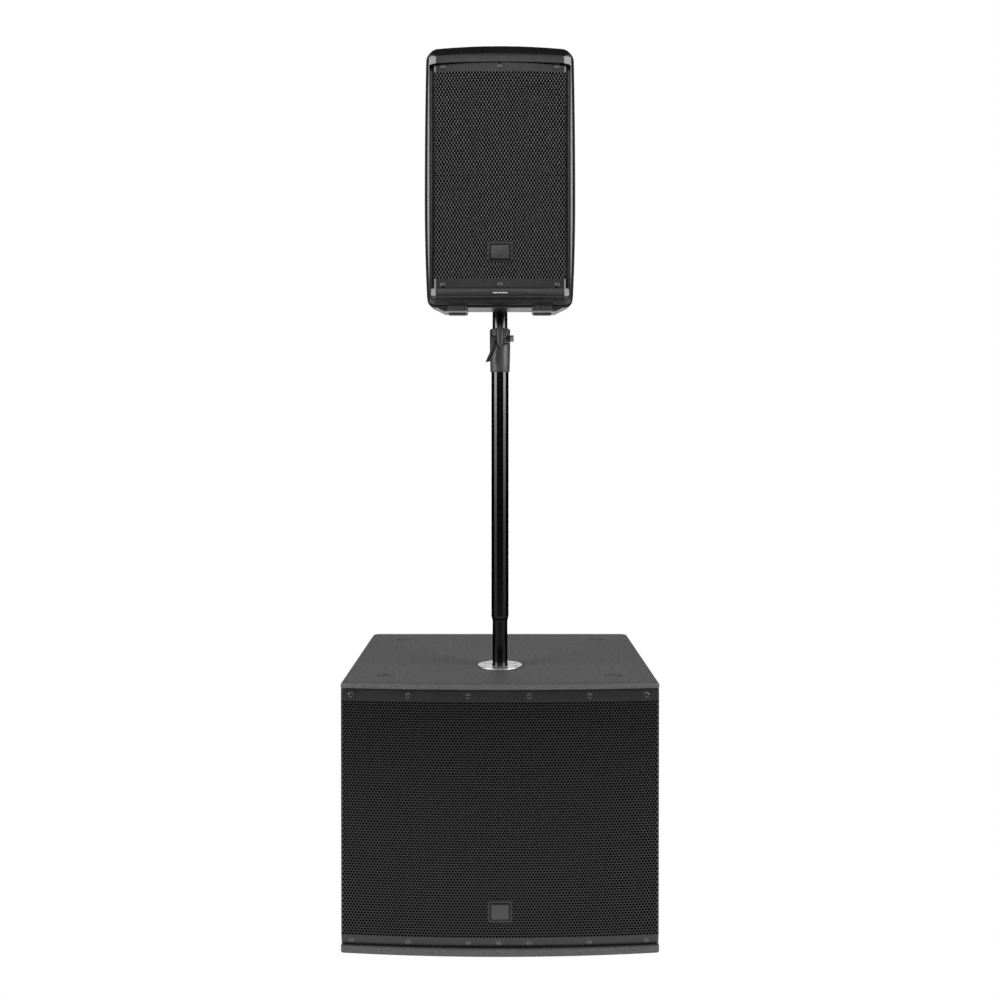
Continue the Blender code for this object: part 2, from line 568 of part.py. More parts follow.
def pole():
    parent = group("pole", (0.0, POLE_Y, SUB_TOP))
    axis = (0.0, POLE_Y, 0.0)
    lower = [(POLE_RADIUS - 0.0010, CUP_FLOOR + 0.0020), (POLE_RADIUS, CUP_FLOOR + 0.0050),
             (POLE_RADIUS, STEP_Z - 0.0055), (TUBE_RADIUS, STEP_Z + 0.0035), (TUBE_RADIUS, TUBE_TOP),
             (TUBE_BORE, TUBE_TOP), (TUBE_BORE, STEP_Z + 0.020), (0.0145, STEP_Z + 0.014),
             (0.0145, CUP_FLOOR + 0.0020)]
    piece("pole_lower_tube", turned(lower, axis, "Z", 24), BLACK_STEEL, parent, origin=axis)
    upper = [(POLE_RADIUS, UPPER_BOTTOM), (POLE_RADIUS, UPPER_TOP - 0.002),
             (POLE_RADIUS - 0.0015, UPPER_TOP), (0.0158, UPPER_TOP), (0.0158, UPPER_BOTTOM)]
    piece("pole_upper_tube", turned(upper, axis, "Z", 24), BLACK_STEEL, parent, origin=axis)
    collar = [(COLLAR_RADIUS - 0.0030, COLLAR_BOTTOM), (COLLAR_RADIUS - 0.0016, COLLAR_BOTTOM + 0.0016),
              (COLLAR_RADIUS - 0.0012, COLLAR_BOTTOM + 0.0060), (COLLAR_RADIUS, COLLAR_TOP - 0.015),
              (COLLAR_RADIUS, COLLAR_TOP), (COLLAR_BORE, COLLAR_TOP), (COLLAR_BORE, COLLAR_BOTTOM)]
    piece("pole_collar", turned(collar, axis, "Z", 24), PLASTIC, parent)
    bush_low, bush_high = COLLAR_TOP + 0.0006, CLAMP_TOP - 0.0008
    bush = [(COLLAR_BORE - GAP, bush_low), (COLLAR_BORE - GAP, bush_high), (POLE_RADIUS + GAP, bush_high),
            (POLE_RADIUS + GAP, bush_low)]
    piece("pole_guide_bush", turned(bush, axis, "Z", 24), PLASTIC, parent)
    clamp(parent, axis)


def clamp(parent, axis):
    """Split ring with two ears, the bolt that pulls them together and its lever."""
    low = COLLAR_TOP + GAP
    ring = cylinder(axis, COLLAR_RADIUS, low, CLAMP_TOP, "Z", 24)
    ear_left, ear_right, ear_front = -0.0098, 0.0195, BOLT_Y - 0.0095
    ears = prism([(ear_front, low + 0.004), (POLE_Y - 0.016, low + 0.0008),
                  (POLE_Y - 0.016, CLAMP_TOP - 0.0008), (ear_front + 0.006, CLAMP_TOP - 0.0008),
                  (ear_front, CLAMP_TOP - 0.010)], ear_left, ear_right, "X")
    bore = cylinder(axis, COLLAR_BORE, low - 0.01, CLAMP_TOP + 0.01, "Z", 24)
    slit = block((-0.0012, ear_front - 0.01, low - 0.01), (0.0012, POLE_Y, CLAMP_TOP + 0.01))
    drill = cylinder((0.0, BOLT_Y, BOLT_Z), BOLT_RADIUS + 0.0004, -0.05, 0.05, "X", 16)
    shape = cut(fuse(ring, ears, solver="MANIFOLD"), bore, slit, drill, solver="MANIFOLD")
    piece("pole_clamp_ring", shape, PLASTIC, parent)
    pivot = (0.0, BOLT_Y, BOLT_Z)
    head = 0.0080
    bolt = [(0.0, -0.0190), (BOLT_RADIUS, -0.0190), (BOLT_RADIUS, ear_right + GAP),
            (head, ear_right + GAP), (head, 0.0305), (head - 0.0012, 0.0317), (0.0, 0.0317)]
    piece("pole_clamp_bolt", turned(bolt, pivot, "X", 18), STEEL, parent)
    hub = cylinder(pivot, 0.0078, -0.0170, ear_left - 0.0004, "X", 20)
    arm = prism([(-0.0170, 0.0040), (-0.0104, 0.0040), (-0.0104, -0.0100), (-0.0235, -0.0480),
                 (-0.0270, -0.0541), (-0.0330, -0.0530), (-0.0170, -0.0110)], -0.0050, 0.0050, "Y")
    hole = cylinder(pivot, BOLT_RADIUS + 0.0004, -0.05, 0.05, "X", 16)
    lever = cut(fuse(hub, moved(arm, 0.0, BOLT_Y, BOLT_Z)), hole)
    piece("pole_clamp_lever", lever, PLASTIC, parent, origin=pivot)


# ---------------------------------------------------------------- subwoofer

def sub_outline(inset, z):
    """Plan of the box with its bowed front, pulled in by inset."""
    half, front, back = SUB_SIDE - inset, SUB_FRONT + inset, SUB_BACK - inset
    corner, nose = 0.012, 0.005
    span = half - nose
    points = [(span * (2 * i / 14 - 1), front + SUB_BOW * (2 * i / 14 - 1) ** 2) for i in range(15)]
    start_y = front + SUB_BOW
    points += [(half - nose * 0.3, start_y + nose * 0.35), (half, start_y + nose)]
    points += arc((half - corner, back - corner), (corner, corner), 0, 90, 3)
    points += arc((corner - half, back - corner), (corner, corner), 90, 180, 3)
    points += [(-half, start_y + nose), (-half + nose * 0.3, start_y + nose * 0.35)]
    return [(x, y, z) for x, y in points]


def sub_box(parent):
    inner_low, inner_high = SUB_BOTTOM + BOARD, SUB_TOP - BOARD
    low, high = inner_low + GAP, inner_high - GAP
    top = loft([sub_outline(inset, z) for inset, z in
                ((0.001, inner_high), (0.0, inner_high + 0.002), (0.0, SUB_TOP - 0.008),
                 (0.0022, SUB_TOP - 0.0026), (0.0075, SUB_TOP))])
    cup_hole = cylinder((0.0, POLE_Y, SUB_TOP), 0.0222, -0.05, 0.05, "Z", 24)
    recesses = [cylinder((x, y, SUB_TOP), RECESS_RADIUS, -RECESS_DEPTH, 0.01, "Z", 24)
                for x in (-FOOT_X, FOOT_X) for y in FOOT_Y]
    piece("sub_top_panel", cut(top, cup_hole, *recesses), PAINT, parent)
    bottom = loft([sub_outline(inset, z) for inset, z in
                   ((0.0040, SUB_BOTTOM), (0.0010, SUB_BOTTOM + 0.0020), (0.0, SUB_BOTTOM + 0.0060),
                    (0.0, inner_low - 0.002), (0.001, inner_low))])
    piece("sub_bottom_panel", bottom, PAINT, parent)
    well = rounded_rectangle(0.200, 0.112, 0.012)
    for side, name in ((-1, "left"), (1, "right")):
        outer, inner = side * SUB_SIDE, side * (SUB_SIDE - BOARD)
        outline = [(inner, SIDE_FRONT), (outer, SIDE_FRONT)]
        outline += [(side * x, y) for x, y in
                    arc((SUB_SIDE - 0.012, SUB_BACK - 0.012), (0.012, 0.012), 0, 90, 3)]
        outline += [(inner, SUB_BACK)]
        hole = moved(prism(well, -0.5, 0.5, "X"), 0.0, 0.0, 0.335)
        keep = prism(outline, low, high, "Z")
        piece(f"sub_{name}_panel", cut(keep, hole), PAINT, parent)
        pocket(f"sub_handle_{name}", side, parent)
    inside = SUB_SIDE - BOARD - GAP
    half, panel_low, panel_high = SUB_PANEL
    rear = block((-inside, SUB_BACK - BOARD, low), (inside, SUB_BACK, high))
    window = block((-half - GAP, 0.0, panel_low - GAP), (half + GAP, 1.0, panel_high + GAP))
    piece("sub_rear_panel", cut(rear, window), PAINT, parent)
    baffle(parent, inside, low, high)


def pocket(name, side, parent):
    """Side handle: a moulded cup with room for fingers behind its upper lip."""
    depth = 0.060
    face = SUB_SIDE - 0.0006
    body = prism(rounded_rectangle(0.1994, 0.1114, 0.0117), face - depth, face, "X")
    mouth = moved(prism(rounded_rectangle(0.170, 0.060, 0.010), face - depth + 0.003, face + 0.01, "X"),
                  0.0, 0.0, -0.018)
    behind = prism(rounded_rectangle(0.170, 0.100, 0.010), face - depth + 0.003, face - 0.016, "X")
    shape = moved(cut(body, fuse(mouth, behind)), 0.0, 0.0, 0.335)
    if side < 0:
        shape.transform(Matrix.Scale(-1, 4, (1, 0, 0)))
        shape.flip_normals()
    piece(name, shape, PLASTIC, parent)


def baffle(parent, inside, low, high):
    """Front board with the driver's hole and two ducts."""
    front, back = BAFFLE_FRONT, BAFFLE_FRONT + BAFFLE_THICK
    board = block((-inside, front, low), (inside, back, high))
    driver_hole = cylinder((0.0, 0.0, SUB_WOOFER_Z), 0.2020, front - 0.1, back + 0.1, "Y", 40)
    board = cut(board, driver_hole, solver="MANIFOLD")
    for side in (-1, 1):
        spot = (side * PORT_X, 0.0, PORT_Z)
        duct = cylinder(spot, PORT_RADIUS + 0.004, front + 0.006, back + 0.130, "Y", 28)
        bore = cylinder(spot, PORT_RADIUS, front - 0.1, back + 0.2, "Y", 28)
        board = cut(fuse(board, duct, solver="MANIFOLD"), bore, solver="MANIFOLD")
    piece("sub_baffle", board, PAINT, parent)
    flange = 0.0032 * SUB_DRIVER_SCALE
    driver("sub_woofer", 0.0, front - GAP - flange, SUB_WOOFER_Z, SUB_DRIVER_SCALE, parent)


def sub_panel(parent):
    face = SUB_PANEL_FACE
    half, low, high = SUB_PANEL
    gain, polarity = (-0.050, 0.300), (0.000, 0.300)
    jacks = ((-0.050, 0.250), (0.050, 0.250))
    mains, switch = (-0.045, 0.180), (0.020, 0.180)
    holes = [(*gain, SHAFT_RADIUS + 0.0004), (*polarity, BUTTON_RADIUS + 0.0004)]
    holes += [(x, z, JACK_RADIUS + 0.0004) for x, z in jacks]
    panel_plate("sub_amp_panel", SUB_PANEL, face, holes, mains, switch, parent)
    knob("sub_gain_knob", gain[0], face, gain[1], parent)
    button("sub_polarity_button", polarity[0], face, polarity[1], parent)
    jack("sub_input_jack", jacks[0][0], face, jacks[0][1], parent)
    jack("sub_thru_jack", jacks[1][0], face, jacks[1][1], parent)
    inlet("sub_mains_inlet", mains[0], face, mains[1], parent)
    rocker("sub_power_switch", switch[0], face, switch[1], parent)
    rear = face - PANEL_THICK - GAP
    piece("sub_amp_module", block((-0.085, rear - 0.120, 0.330), (0.085, rear, high - 0.015)),
          MAGNET, parent)


def pole_cup(parent):
    """Steel cup in the top board: round flange, sleeve and floor."""
    profile = [(0.0, CUP_FLOOR - 0.004), (0.0215, CUP_FLOOR - 0.004), (0.0215, SUB_TOP + GAP),
               (0.0525, SUB_TOP + GAP), (0.0525, SUB_TOP + 0.0022), (0.0515, SUB_TOP + 0.0032),
               (0.0190, SUB_TOP + 0.0032), (0.0180, SUB_TOP + 0.0022), (0.0180, CUP_FLOOR),
               (0.0, CUP_FLOOR)]
    piece("sub_pole_cup", turned(profile, (0.0, POLE_Y, 0.0), "Z", 32), CHROME, parent)


def subwoofer():
    parent = group("subwoofer", (0.0, 0.0, 0.0))
    sub_box(parent)
    sheet = bowed_sheet(SUB_SIDE - 0.0005, SUB_FRONT + 0.0035, SUB_BOW - 0.0015, SIDE_FRONT - GAP, 0.0020,
                        SUB_BOTTOM + BOARD + GAP, SUB_TOP - BOARD - GAP, 0.0050, 20)
    piece("sub_grille", sheet, GRILLE, parent)
    plate = moved(prism(rounded_rectangle(0.044, 0.038, 0.003), 0.0002, 0.0030, "Y"),
                  0.0, SUB_FRONT, 0.1022)
    piece("sub_badge", plate, BADGE, parent)
    pole_cup(parent)
    sub_panel(parent)
    profile = [(0.0, 0.0), (FOOT_RADIUS - 0.0015, 0.0), (FOOT_RADIUS, SUB_BOTTOM - GAP),
               (0.0, SUB_BOTTOM - GAP)]
    for end, y in zip(("front", "rear"), FOOT_Y):
        for side, x in (("left", -FOOT_X), ("right", FOOT_X)):
            piece(f"sub_foot_{end}_{side}", turned(profile, (x, y, 0.0), "Z", 20), RUBBER, parent)


def main():
    for old in list(bpy.data.objects):
        bpy.data.objects.remove(old)
    subwoofer()
    pole()
    loudspeaker()


main()
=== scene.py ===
"""The looks of the loudspeaker, its pole and the subwoofer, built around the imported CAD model.

Metres, +Z up, front towards -Y, as in the CAD frame. Places come from the CAD nodes' boxes.
"""

import json
import math

import bmesh
import bpy
from mathutils import Matrix, Vector

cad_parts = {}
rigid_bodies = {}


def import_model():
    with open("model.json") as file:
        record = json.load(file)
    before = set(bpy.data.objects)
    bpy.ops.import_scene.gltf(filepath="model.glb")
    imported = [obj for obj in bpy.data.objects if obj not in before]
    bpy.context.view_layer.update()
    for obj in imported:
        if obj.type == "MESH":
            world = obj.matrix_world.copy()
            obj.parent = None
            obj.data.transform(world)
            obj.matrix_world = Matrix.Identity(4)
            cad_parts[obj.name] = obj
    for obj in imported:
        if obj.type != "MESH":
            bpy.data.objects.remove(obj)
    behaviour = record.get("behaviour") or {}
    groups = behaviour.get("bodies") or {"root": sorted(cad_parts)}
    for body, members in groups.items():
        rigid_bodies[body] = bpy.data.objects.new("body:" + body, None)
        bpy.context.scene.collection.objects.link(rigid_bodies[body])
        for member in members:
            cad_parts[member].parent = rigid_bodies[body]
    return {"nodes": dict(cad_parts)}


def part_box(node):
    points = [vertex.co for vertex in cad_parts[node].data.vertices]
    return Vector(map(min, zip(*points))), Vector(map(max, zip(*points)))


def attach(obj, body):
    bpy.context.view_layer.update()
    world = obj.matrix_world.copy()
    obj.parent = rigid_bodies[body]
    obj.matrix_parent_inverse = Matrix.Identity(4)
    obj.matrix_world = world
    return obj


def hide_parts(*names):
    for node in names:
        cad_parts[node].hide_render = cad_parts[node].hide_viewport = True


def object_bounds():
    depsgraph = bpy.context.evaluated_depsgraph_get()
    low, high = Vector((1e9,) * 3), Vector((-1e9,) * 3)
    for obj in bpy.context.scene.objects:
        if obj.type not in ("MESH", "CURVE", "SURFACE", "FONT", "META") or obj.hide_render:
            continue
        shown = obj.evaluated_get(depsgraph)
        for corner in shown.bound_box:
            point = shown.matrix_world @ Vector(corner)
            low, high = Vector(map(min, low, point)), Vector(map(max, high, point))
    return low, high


for old in list(bpy.data.objects):
    bpy.data.objects.remove(old)
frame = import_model()
cad_low, cad_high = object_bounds()
NODES = frame["nodes"]

GAP = 0.0003            # between the two shells of the cabinet


# ================================================================ shapes

def put(name, data):
    """A new object in the scene."""
    made = bpy.data.objects.new(name, data)
    bpy.context.scene.collection.objects.link(made)
    return made


def middle(low, high):
    """Centre of a box."""
    return tuple((a + b) / 2 for a, b in zip(low, high))


def place(u, v, w, axis):
    """A point with w along the axis and u, v across it."""
    return {"X": (w, u, v), "Y": (u, w, v), "Z": (u, v, w)}[axis]


def loft(rings, closed=False):
    """A skin through rings of points; a ring may be a single point. Ends are capped unless closed."""
    work = bmesh.new()
    made = [[work.verts.new(point) for point in ring] for ring in rings]
    pairs = list(zip(made, made[1:] + made[:1])) if closed else list(zip(made, made[1:]))
    for one, two in pairs:
        count = max(len(one), len(two))
        for i in range(count):
            j = (i + 1) % count
            if len(one) == 1:
                work.faces.new((one[0], two[j], two[i]))
            elif len(two) == 1:
                work.faces.new((one[i], one[j], two[0]))
            else:
                work.faces.new((one[i], one[j], two[j], two[i]))
    if not closed:
        for ring in (made[0], made[-1]):
            if len(ring) > 2:
                work.faces.new(ring)
    bmesh.ops.recalc_face_normals(work, faces=work.faces)
    return to_mesh(work)


def to_mesh(work):
    mesh = bpy.data.meshes.new("shape")
    work.to_mesh(mesh)
    work.free()
    return mesh


def turned(profile, centre, axis="Y", segments=64, flutes=0, flute_depth=0.0, fluted=()):
    """A lathe shape from (radius, distance along the axis) points; the rings in fluted are scalloped."""
    rings = []
    for index, (radius, along) in enumerate(profile):
        if radius == 0.0:
            rings.append([place(0.0, 0.0, along, axis)])
            continue
        ring = []
        for i in range(segments):
            angle = 2 * math.pi * i / segments
            r = radius
            if index in fluted:
                r -= flute_depth * (0.5 - 0.5 * math.cos(flutes * angle))
            ring.append(place(r * math.cos(angle), r * math.sin(angle), along, axis))
        rings.append(ring)
    mesh = loft(rings, closed=profile[0][0] > 0.0)
    mesh.transform(Matrix.Translation(centre))
    return mesh


def cylinder(centre, radius, start, end, axis="Y", segments=32):
    return turned([(0.0, start), (radius, start), (radius, end), (0.0, end)], centre, axis, segments)


def rounded_rectangle(width, height, radius, steps=6):
    """Corner arcs of a rectangle about the origin, anticlockwise from the lower right."""
    points = []
    for quarter, (sx, sy) in enumerate(((1, -1), (1, 1), (-1, 1), (-1, -1))):
        for i in range(steps + 1):
            angle = math.radians(-90 + 90 * quarter + 90 * i / steps)
            points.append((sx * (width / 2 - radius) + radius * math.cos(angle),
                           sy * (height / 2 - radius) + radius * math.sin(angle)))
    return points


def prism(outline, start, end, axis):
    return loft([[place(u, v, w, axis) for u, v in outline] for w in (start, end)])


def block(low, high):
    (x0, y0, z0), (x1, y1, z1) = low, high
    return prism([(x0, y0), (x1, y0), (x1, y1), (x0, y1)], z0, z1, "Z")


def soft_block(width, height, radius, start, end, edge, axis="Y"):
    """Rounded rectangle along an axis whose far edge (at end) is rounded over by edge."""
    sign = 1 if end > start else -1
    rings = [[place(u, v, start, axis) for u, v in rounded_rectangle(width, height, radius)]]
    for i in range(5):
        angle = math.radians(90 * i / 4)
        pull = edge * (1 - math.cos(angle))
        along = end - sign * edge * (1 - math.sin(angle))
        shrink = rounded_rectangle(width - 2 * pull, height - 2 * pull, max(radius - pull, 0.0002))
        rings.append([place(u, v, along, axis) for u, v in shrink])
    return loft(rings)


def moved(mesh, x=0.0, y=0.0, z=0.0):
    mesh.transform(Matrix.Translation((x, y, z)))
    return mesh


def together(meshes):
    """Several meshes as one, left as separate solids."""
    work = bmesh.new()
    for mesh in meshes:
        work.from_mesh(mesh)
    return to_mesh(work)


def combine(mesh, others, operation):
    """The mesh after a boolean with each of the others."""
    base = put("base", mesh)
    tools = []
    for other in others:
        tool = put("tool", other)
        modifier = base.modifiers.new("boolean", "BOOLEAN")
        modifier.operation = operation
        modifier.solver = "MANIFOLD"
        modifier.object = tool
        tools.append(tool)
    depsgraph = bpy.context.evaluated_depsgraph_get()
    result = bpy.data.meshes.new_from_object(base.evaluated_get(depsgraph))
    for used in [base] + tools:
        bpy.data.objects.remove(used)
    return result


def cut(mesh, *others):
    return combine(mesh, others, "DIFFERENCE")


def fuse(mesh, *others):
    return combine(mesh, others, "UNION")


def arc(centre, radii, start, end, steps):
    """Points on an ellipse from one angle to another, in degrees."""
    points = []
    for i in range(steps + 1):
        angle = math.radians(start + (end - start) * i / steps)
        points.append((centre[0] + radii[0] * math.cos(angle), centre[1] + radii[1] * math.sin(angle)))
    return points


# ================================================================ materials

def new_material(name, colour, roughness, metallic=0.0, specular=0.5):
    made = bpy.data.materials.new(name)
    made.use_nodes = True
    shader = made.node_tree.nodes["Principled BSDF"]
    shader.inputs["Base Color"].default_value = (*colour, 1.0)
    shader.inputs["Roughness"].default_value = roughness
    shader.inputs["Metallic"].default_value = metallic
    shader.inputs["Specular IOR Level"].default_value = specular
    return made


def node(made, kind, **values):
    added = made.node_tree.nodes.new(kind)
    for key, value in values.items():
        if key in added.inputs:
            added.inputs[key].default_value = value
        else:
            setattr(added, key, value)
    return added


def join(made, one, output, two, target):
    made.node_tree.links.new(one.outputs[output], two.inputs[target])


def surface_places(made, stretch=(1.0, 1.0, 1.0)):
    """The object's own coordinates in metres, stretched where a finish runs along one way."""
    coordinates = node(made, "ShaderNodeTexCoord")
    mapping = node(made, "ShaderNodeMapping")
    mapping.inputs["Scale"].default_value = stretch
    join(made, coordinates, "Object", mapping, "Vector")
    return mapping


def grain(made, layers, stretch=(1.0, 1.0, 1.0)):
    """Bump from layers of noise: (kind, scale per metre, depth in metres)."""
    shader = made.node_tree.nodes["Principled BSDF"]
    places = surface_places(made, stretch)
    previous = None
    for kind, scale, depth in layers:
        if kind == "cells":
            texture = node(made, "ShaderNodeTexVoronoi", Scale=scale)
            output = "Distance"
        else:
            texture = node(made, "ShaderNodeTexNoise", Scale=scale, Detail=3.0)
            output = "Fac"
        bump = node(made, "ShaderNodeBump", Strength=1.0, Distance=depth)
        join(made, places, "Vector", texture, "Vector")
        join(made, texture, output, bump, "Height")
        if previous:
            join(made, previous, "Normal", bump, "Normal")
        previous = bump
    join(made, previous, "Normal", shader, "Normal")
    return made


def mottle(made, colour, scale, low, high):
    """Colour that drifts between low and high times the base, as paint and plastic do."""
    shader = made.node_tree.nodes["Principled BSDF"]
    places = surface_places(made)
    noise = node(made, "ShaderNodeTexNoise", Scale=scale, Detail=4.0)
    ramp = node(made, "ShaderNodeValToRGB")
    ramp.color_ramp.elements[0].position = 0.30
    ramp.color_ramp.elements[1].position = 0.70
    ramp.color_ramp.elements[0].color = (*[c * low for c in colour], 1.0)
    ramp.color_ramp.elements[1].color = (*[c * high for c in colour], 1.0)
    join(made, places, "Vector", noise, "Vector")
    join(made, noise, "Fac", ramp, "Fac")
    join(made, ramp, "Color", shader, "Base Color")
    return made


def uneven_gloss(made, scale, low, high, stretch=(1.0, 1.0, 1.0)):
    """Roughness that varies over the surface."""
    shader = made.node_tree.nodes["Principled BSDF"]
    places = surface_places(made, stretch)
    noise = node(made, "ShaderNodeTexNoise", Scale=scale, Detail=3.0)
    spread = node(made, "ShaderNodeMapRange")
    spread.inputs["From Min"].default_value = 0.3
    spread.inputs["From Max"].default_value = 0.7
    spread.inputs["To Min"].default_value = low
    spread.inputs["To Max"].default_value = high
    join(made, places, "Vector", noise, "Vector")
    join(made, noise, "Fac", spread, "Value")
    join(made, spread, "Result", shader, "Roughness")
    return made


# drift is (scale, darkest, lightest) of the colour, gloss is (scale, least, most) of the roughness, and
# layers are the grain. A stretch below 1 draws the pattern out along X.
FINISHES = {
    # Black polyurea-like paint with a fine pebbled texture.
    "board_paint": dict(colour=(0.047, 0.047, 0.048), roughness=0.60, specular=0.40,
        drift=(260.0, 0.70, 1.45), gloss=(120.0, 0.52, 0.72),
        layers=(("cells", 520.0, 0.00030), ("noise", 1500.0, 0.00010))),
    "powder_coat": dict(colour=(0.005, 0.005, 0.005), roughness=0.34, specular=0.43,
        drift=(30.0, 0.85, 1.15), gloss=(40.0, 0.30, 0.38), layers=(("noise", 1800.0, 0.00003),)),
    # Moulded polypropylene with a fine leather-like grain.
    "cabinet_plastic": dict(colour=(0.0045, 0.0045, 0.0045), roughness=0.30, specular=0.50,
        drift=(22.0, 0.88, 1.12), gloss=(60.0, 0.28, 0.36),
        layers=(("cells", 1300.0, 0.00004), ("noise", 300.0, 0.00002))),
    "clamp_plastic": dict(colour=(0.021, 0.021, 0.022), roughness=0.46, specular=0.45,
        drift=(60.0, 0.85, 1.15), gloss=(150.0, 0.40, 0.52), layers=(("noise", 1600.0, 0.00005),)),
    "lever_plastic": dict(colour=(0.004, 0.004, 0.004), roughness=0.42, specular=0.30,
        gloss=(200.0, 0.36, 0.50), layers=(("noise", 1200.0, 0.00005),)),
    "control_plastic": dict(colour=(0.012, 0.012, 0.012), roughness=0.36, specular=0.5,
        gloss=(250.0, 0.30, 0.44), layers=(("noise", 2500.0, 0.00002),)),
    # Black enamel on a drawn tube.
    "gloss_tube": dict(colour=(0.032, 0.032, 0.032), roughness=0.15, metallic=1.0),
    "zinc_plate": dict(colour=(0.73, 0.73, 0.74), roughness=0.34, metallic=1.0, drift=(120.0, 0.88, 1.04),
        gloss=(400.0, 0.28, 0.42), layers=(("noise", 900.0, 0.00003),)),
    "black_screw": dict(colour=(0.075, 0.075, 0.077), roughness=0.24, metallic=0.9,
        gloss=(900.0, 0.18, 0.32)),
    "dull_steel": dict(colour=(0.13, 0.13, 0.135), roughness=0.45, metallic=0.6, drift=(300.0, 0.8, 1.15),
        gloss=(700.0, 0.38, 0.55)),
    "rubber": dict(colour=(0.004, 0.004, 0.004), roughness=0.78, specular=0.35, drift=(200.0, 0.7, 1.4),
        layers=(("noise", 1200.0, 0.00008),)),
    # Open-cell black foam behind a grille.
    "foam": dict(colour=(0.0008, 0.0008, 0.0008), roughness=1.0, specular=0.05, drift=(900.0, 0.5, 1.5),
        layers=(("cells", 900.0, 0.0006),)),
    "cone_paper": dict(colour=(0.022, 0.021, 0.020), roughness=0.85, specular=0.2, drift=(300.0, 0.7, 1.4),
        layers=(("noise", 700.0, 0.00025),)),
    "ferrite": dict(colour=(0.040, 0.040, 0.042), roughness=0.65, drift=(400.0, 0.7, 1.3),
        layers=(("noise", 900.0, 0.00012),)),
    "pressed_steel": dict(colour=(0.020, 0.020, 0.021), roughness=0.45, gloss=(80.0, 0.38, 0.55),
        layers=(("noise", 1200.0, 0.00006),)),
    # Black anodised panel with a faint brushed direction.
    "anodised": dict(colour=(0.022, 0.022, 0.024), roughness=0.42, metallic=0.35, drift=(50.0, 0.85, 1.2),
        gloss=(500.0, 0.34, 0.50), gloss_stretch=0.1, layers=(("noise", 1400.0, 0.00003),),
        grain_stretch=0.08),
    "board_module": dict(colour=(0.045, 0.046, 0.045), roughness=0.6, drift=(90.0, 0.7, 1.3),
        layers=(("cells", 220.0, 0.0004),)),
    "badge_frame": dict(colour=(0.002, 0.002, 0.002), roughness=0.22, specular=0.2,
        gloss=(200.0, 0.16, 0.28)),
    "badge_face": dict(colour=(0.024, 0.024, 0.025), roughness=0.34, metallic=0.2,
        gloss=(900.0, 0.28, 0.42), gloss_stretch=0.05, layers=(("noise", 2200.0, 0.00002),),
        grain_stretch=0.05),
    "print_ink": dict(colour=(0.55, 0.55, 0.55), roughness=0.6, drift=(1500.0, 0.85, 1.05)),
    "contact_metal": dict(colour=(0.70, 0.66, 0.58), roughness=0.25, metallic=1.0,
        gloss=(1500.0, 0.18, 0.35)),
    "lamp_white": dict(colour=(0.45, 0.46, 0.47), roughness=0.35, gloss=(300.0, 0.28, 0.42)),
}


def finish(name, colour, roughness, metallic=0.0, specular=0.5, drift=None, gloss=None, layers=None,
           gloss_stretch=1.0, grain_stretch=1.0):
    made = new_material(name, colour, roughness, metallic, specular)
    if drift:
        mottle(made, colour, *drift)
    if gloss:
        uneven_gloss(made, *gloss, (gloss_stretch, 1.0, 1.0))
    if layers:
        grain(made, layers, (grain_stretch, 1.0, 1.0))
    return made


def drawn(made):
    """Streaks of light that run round a tube, as on drawn metal."""
    shader = made.node_tree.nodes["Principled BSDF"]
    shader.inputs["Specular Tint"].default_value = (0.0, 0.0, 0.0, 1.0)
    shader.inputs["Anisotropic"].default_value = 0.85
    shader.inputs["Anisotropic Rotation"].default_value = 0.25
    round_axis = node(made, "ShaderNodeTangent", direction_type="RADIAL", axis="Z")
    join(made, round_axis, "Tangent", shader, "Tangent")


LOOKS = {name: finish(name, **values) for name, values in FINISHES.items()}
drawn(LOOKS["gloss_tube"])


def piece(name, mesh, look, body, stands_for=(), bevel=0.0, sharp=32.0):
    """A finished piece that rides on a body and may stand for CAD nodes."""
    mesh.name = name
    mesh.materials.clear()
    mesh.materials.append(LOOKS[look])
    mesh.shade_smooth()
    mesh.set_sharp_from_angle(angle=math.radians(sharp))
    made = put(name, mesh)
    if bevel:
        rounding = made.modifiers.new("rounding", "BEVEL")
        rounding.width = bevel
        rounding.segments = 3
        rounding.limit_method = "ANGLE"
        rounding.angle_limit = math.radians(40)
        rounding.use_clamp_overlap = True
        rounding.harden_normals = True
    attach(made, body)
    if stands_for:
        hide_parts(*stands_for)
    return made


def keep(node_name, look):
    """A CAD node that stays and takes a finish."""
    mesh = NODES[node_name].data
    mesh.materials.clear()
    mesh.materials.append(LOOKS[look])


# ================================================================ screws

def cross(radius, width, angle):
    """Reach of a cross recess at an angle."""
    best = 0.0
    for arm in range(4):
        turn = angle - arm * math.pi / 2
        if math.cos(turn) > 0.01:
            side = width / 2 / max(abs(math.sin(turn)), 1e-6)
            best = max(best, min(radius / math.cos(turn), side))
    return best


def seated(mesh, point, direction):
    """A mesh made along Z, turned to face a direction and set on a point."""
    turn = Vector((0, 0, 1)).rotation_difference(Vector(direction)).to_matrix().to_4x4()
    mesh.transform(Matrix.Translation(point) @ turn)
    return mesh


def screw(point, direction, radius, height, segments=32):
    """Pan head with a cross recess, seated at a point and facing along a direction."""
    def ring(r, z):
        return [(r * math.cos(2 * math.pi * i / segments), r * math.sin(2 * math.pi * i / segments), z)
                for i in range(segments)]

    def recess(scale, z):
        points = []
        for i in range(segments):
            angle = 2 * math.pi * i / segments
            reach = cross(radius * 0.60 * scale, radius * 0.26 * scale, angle)
            points.append((reach * math.cos(angle), reach * math.sin(angle), z))
        return points

    rings = [ring(radius * 0.96, -0.0004), ring(radius, height * 0.25), ring(radius * 0.95, height * 0.6),
             ring(radius * 0.84, height * 0.88), ring(radius * 0.68, height), recess(1.0, height),
             recess(0.7, height * 0.15)]
    mesh = loft(rings)
    return seated(mesh, point, direction)


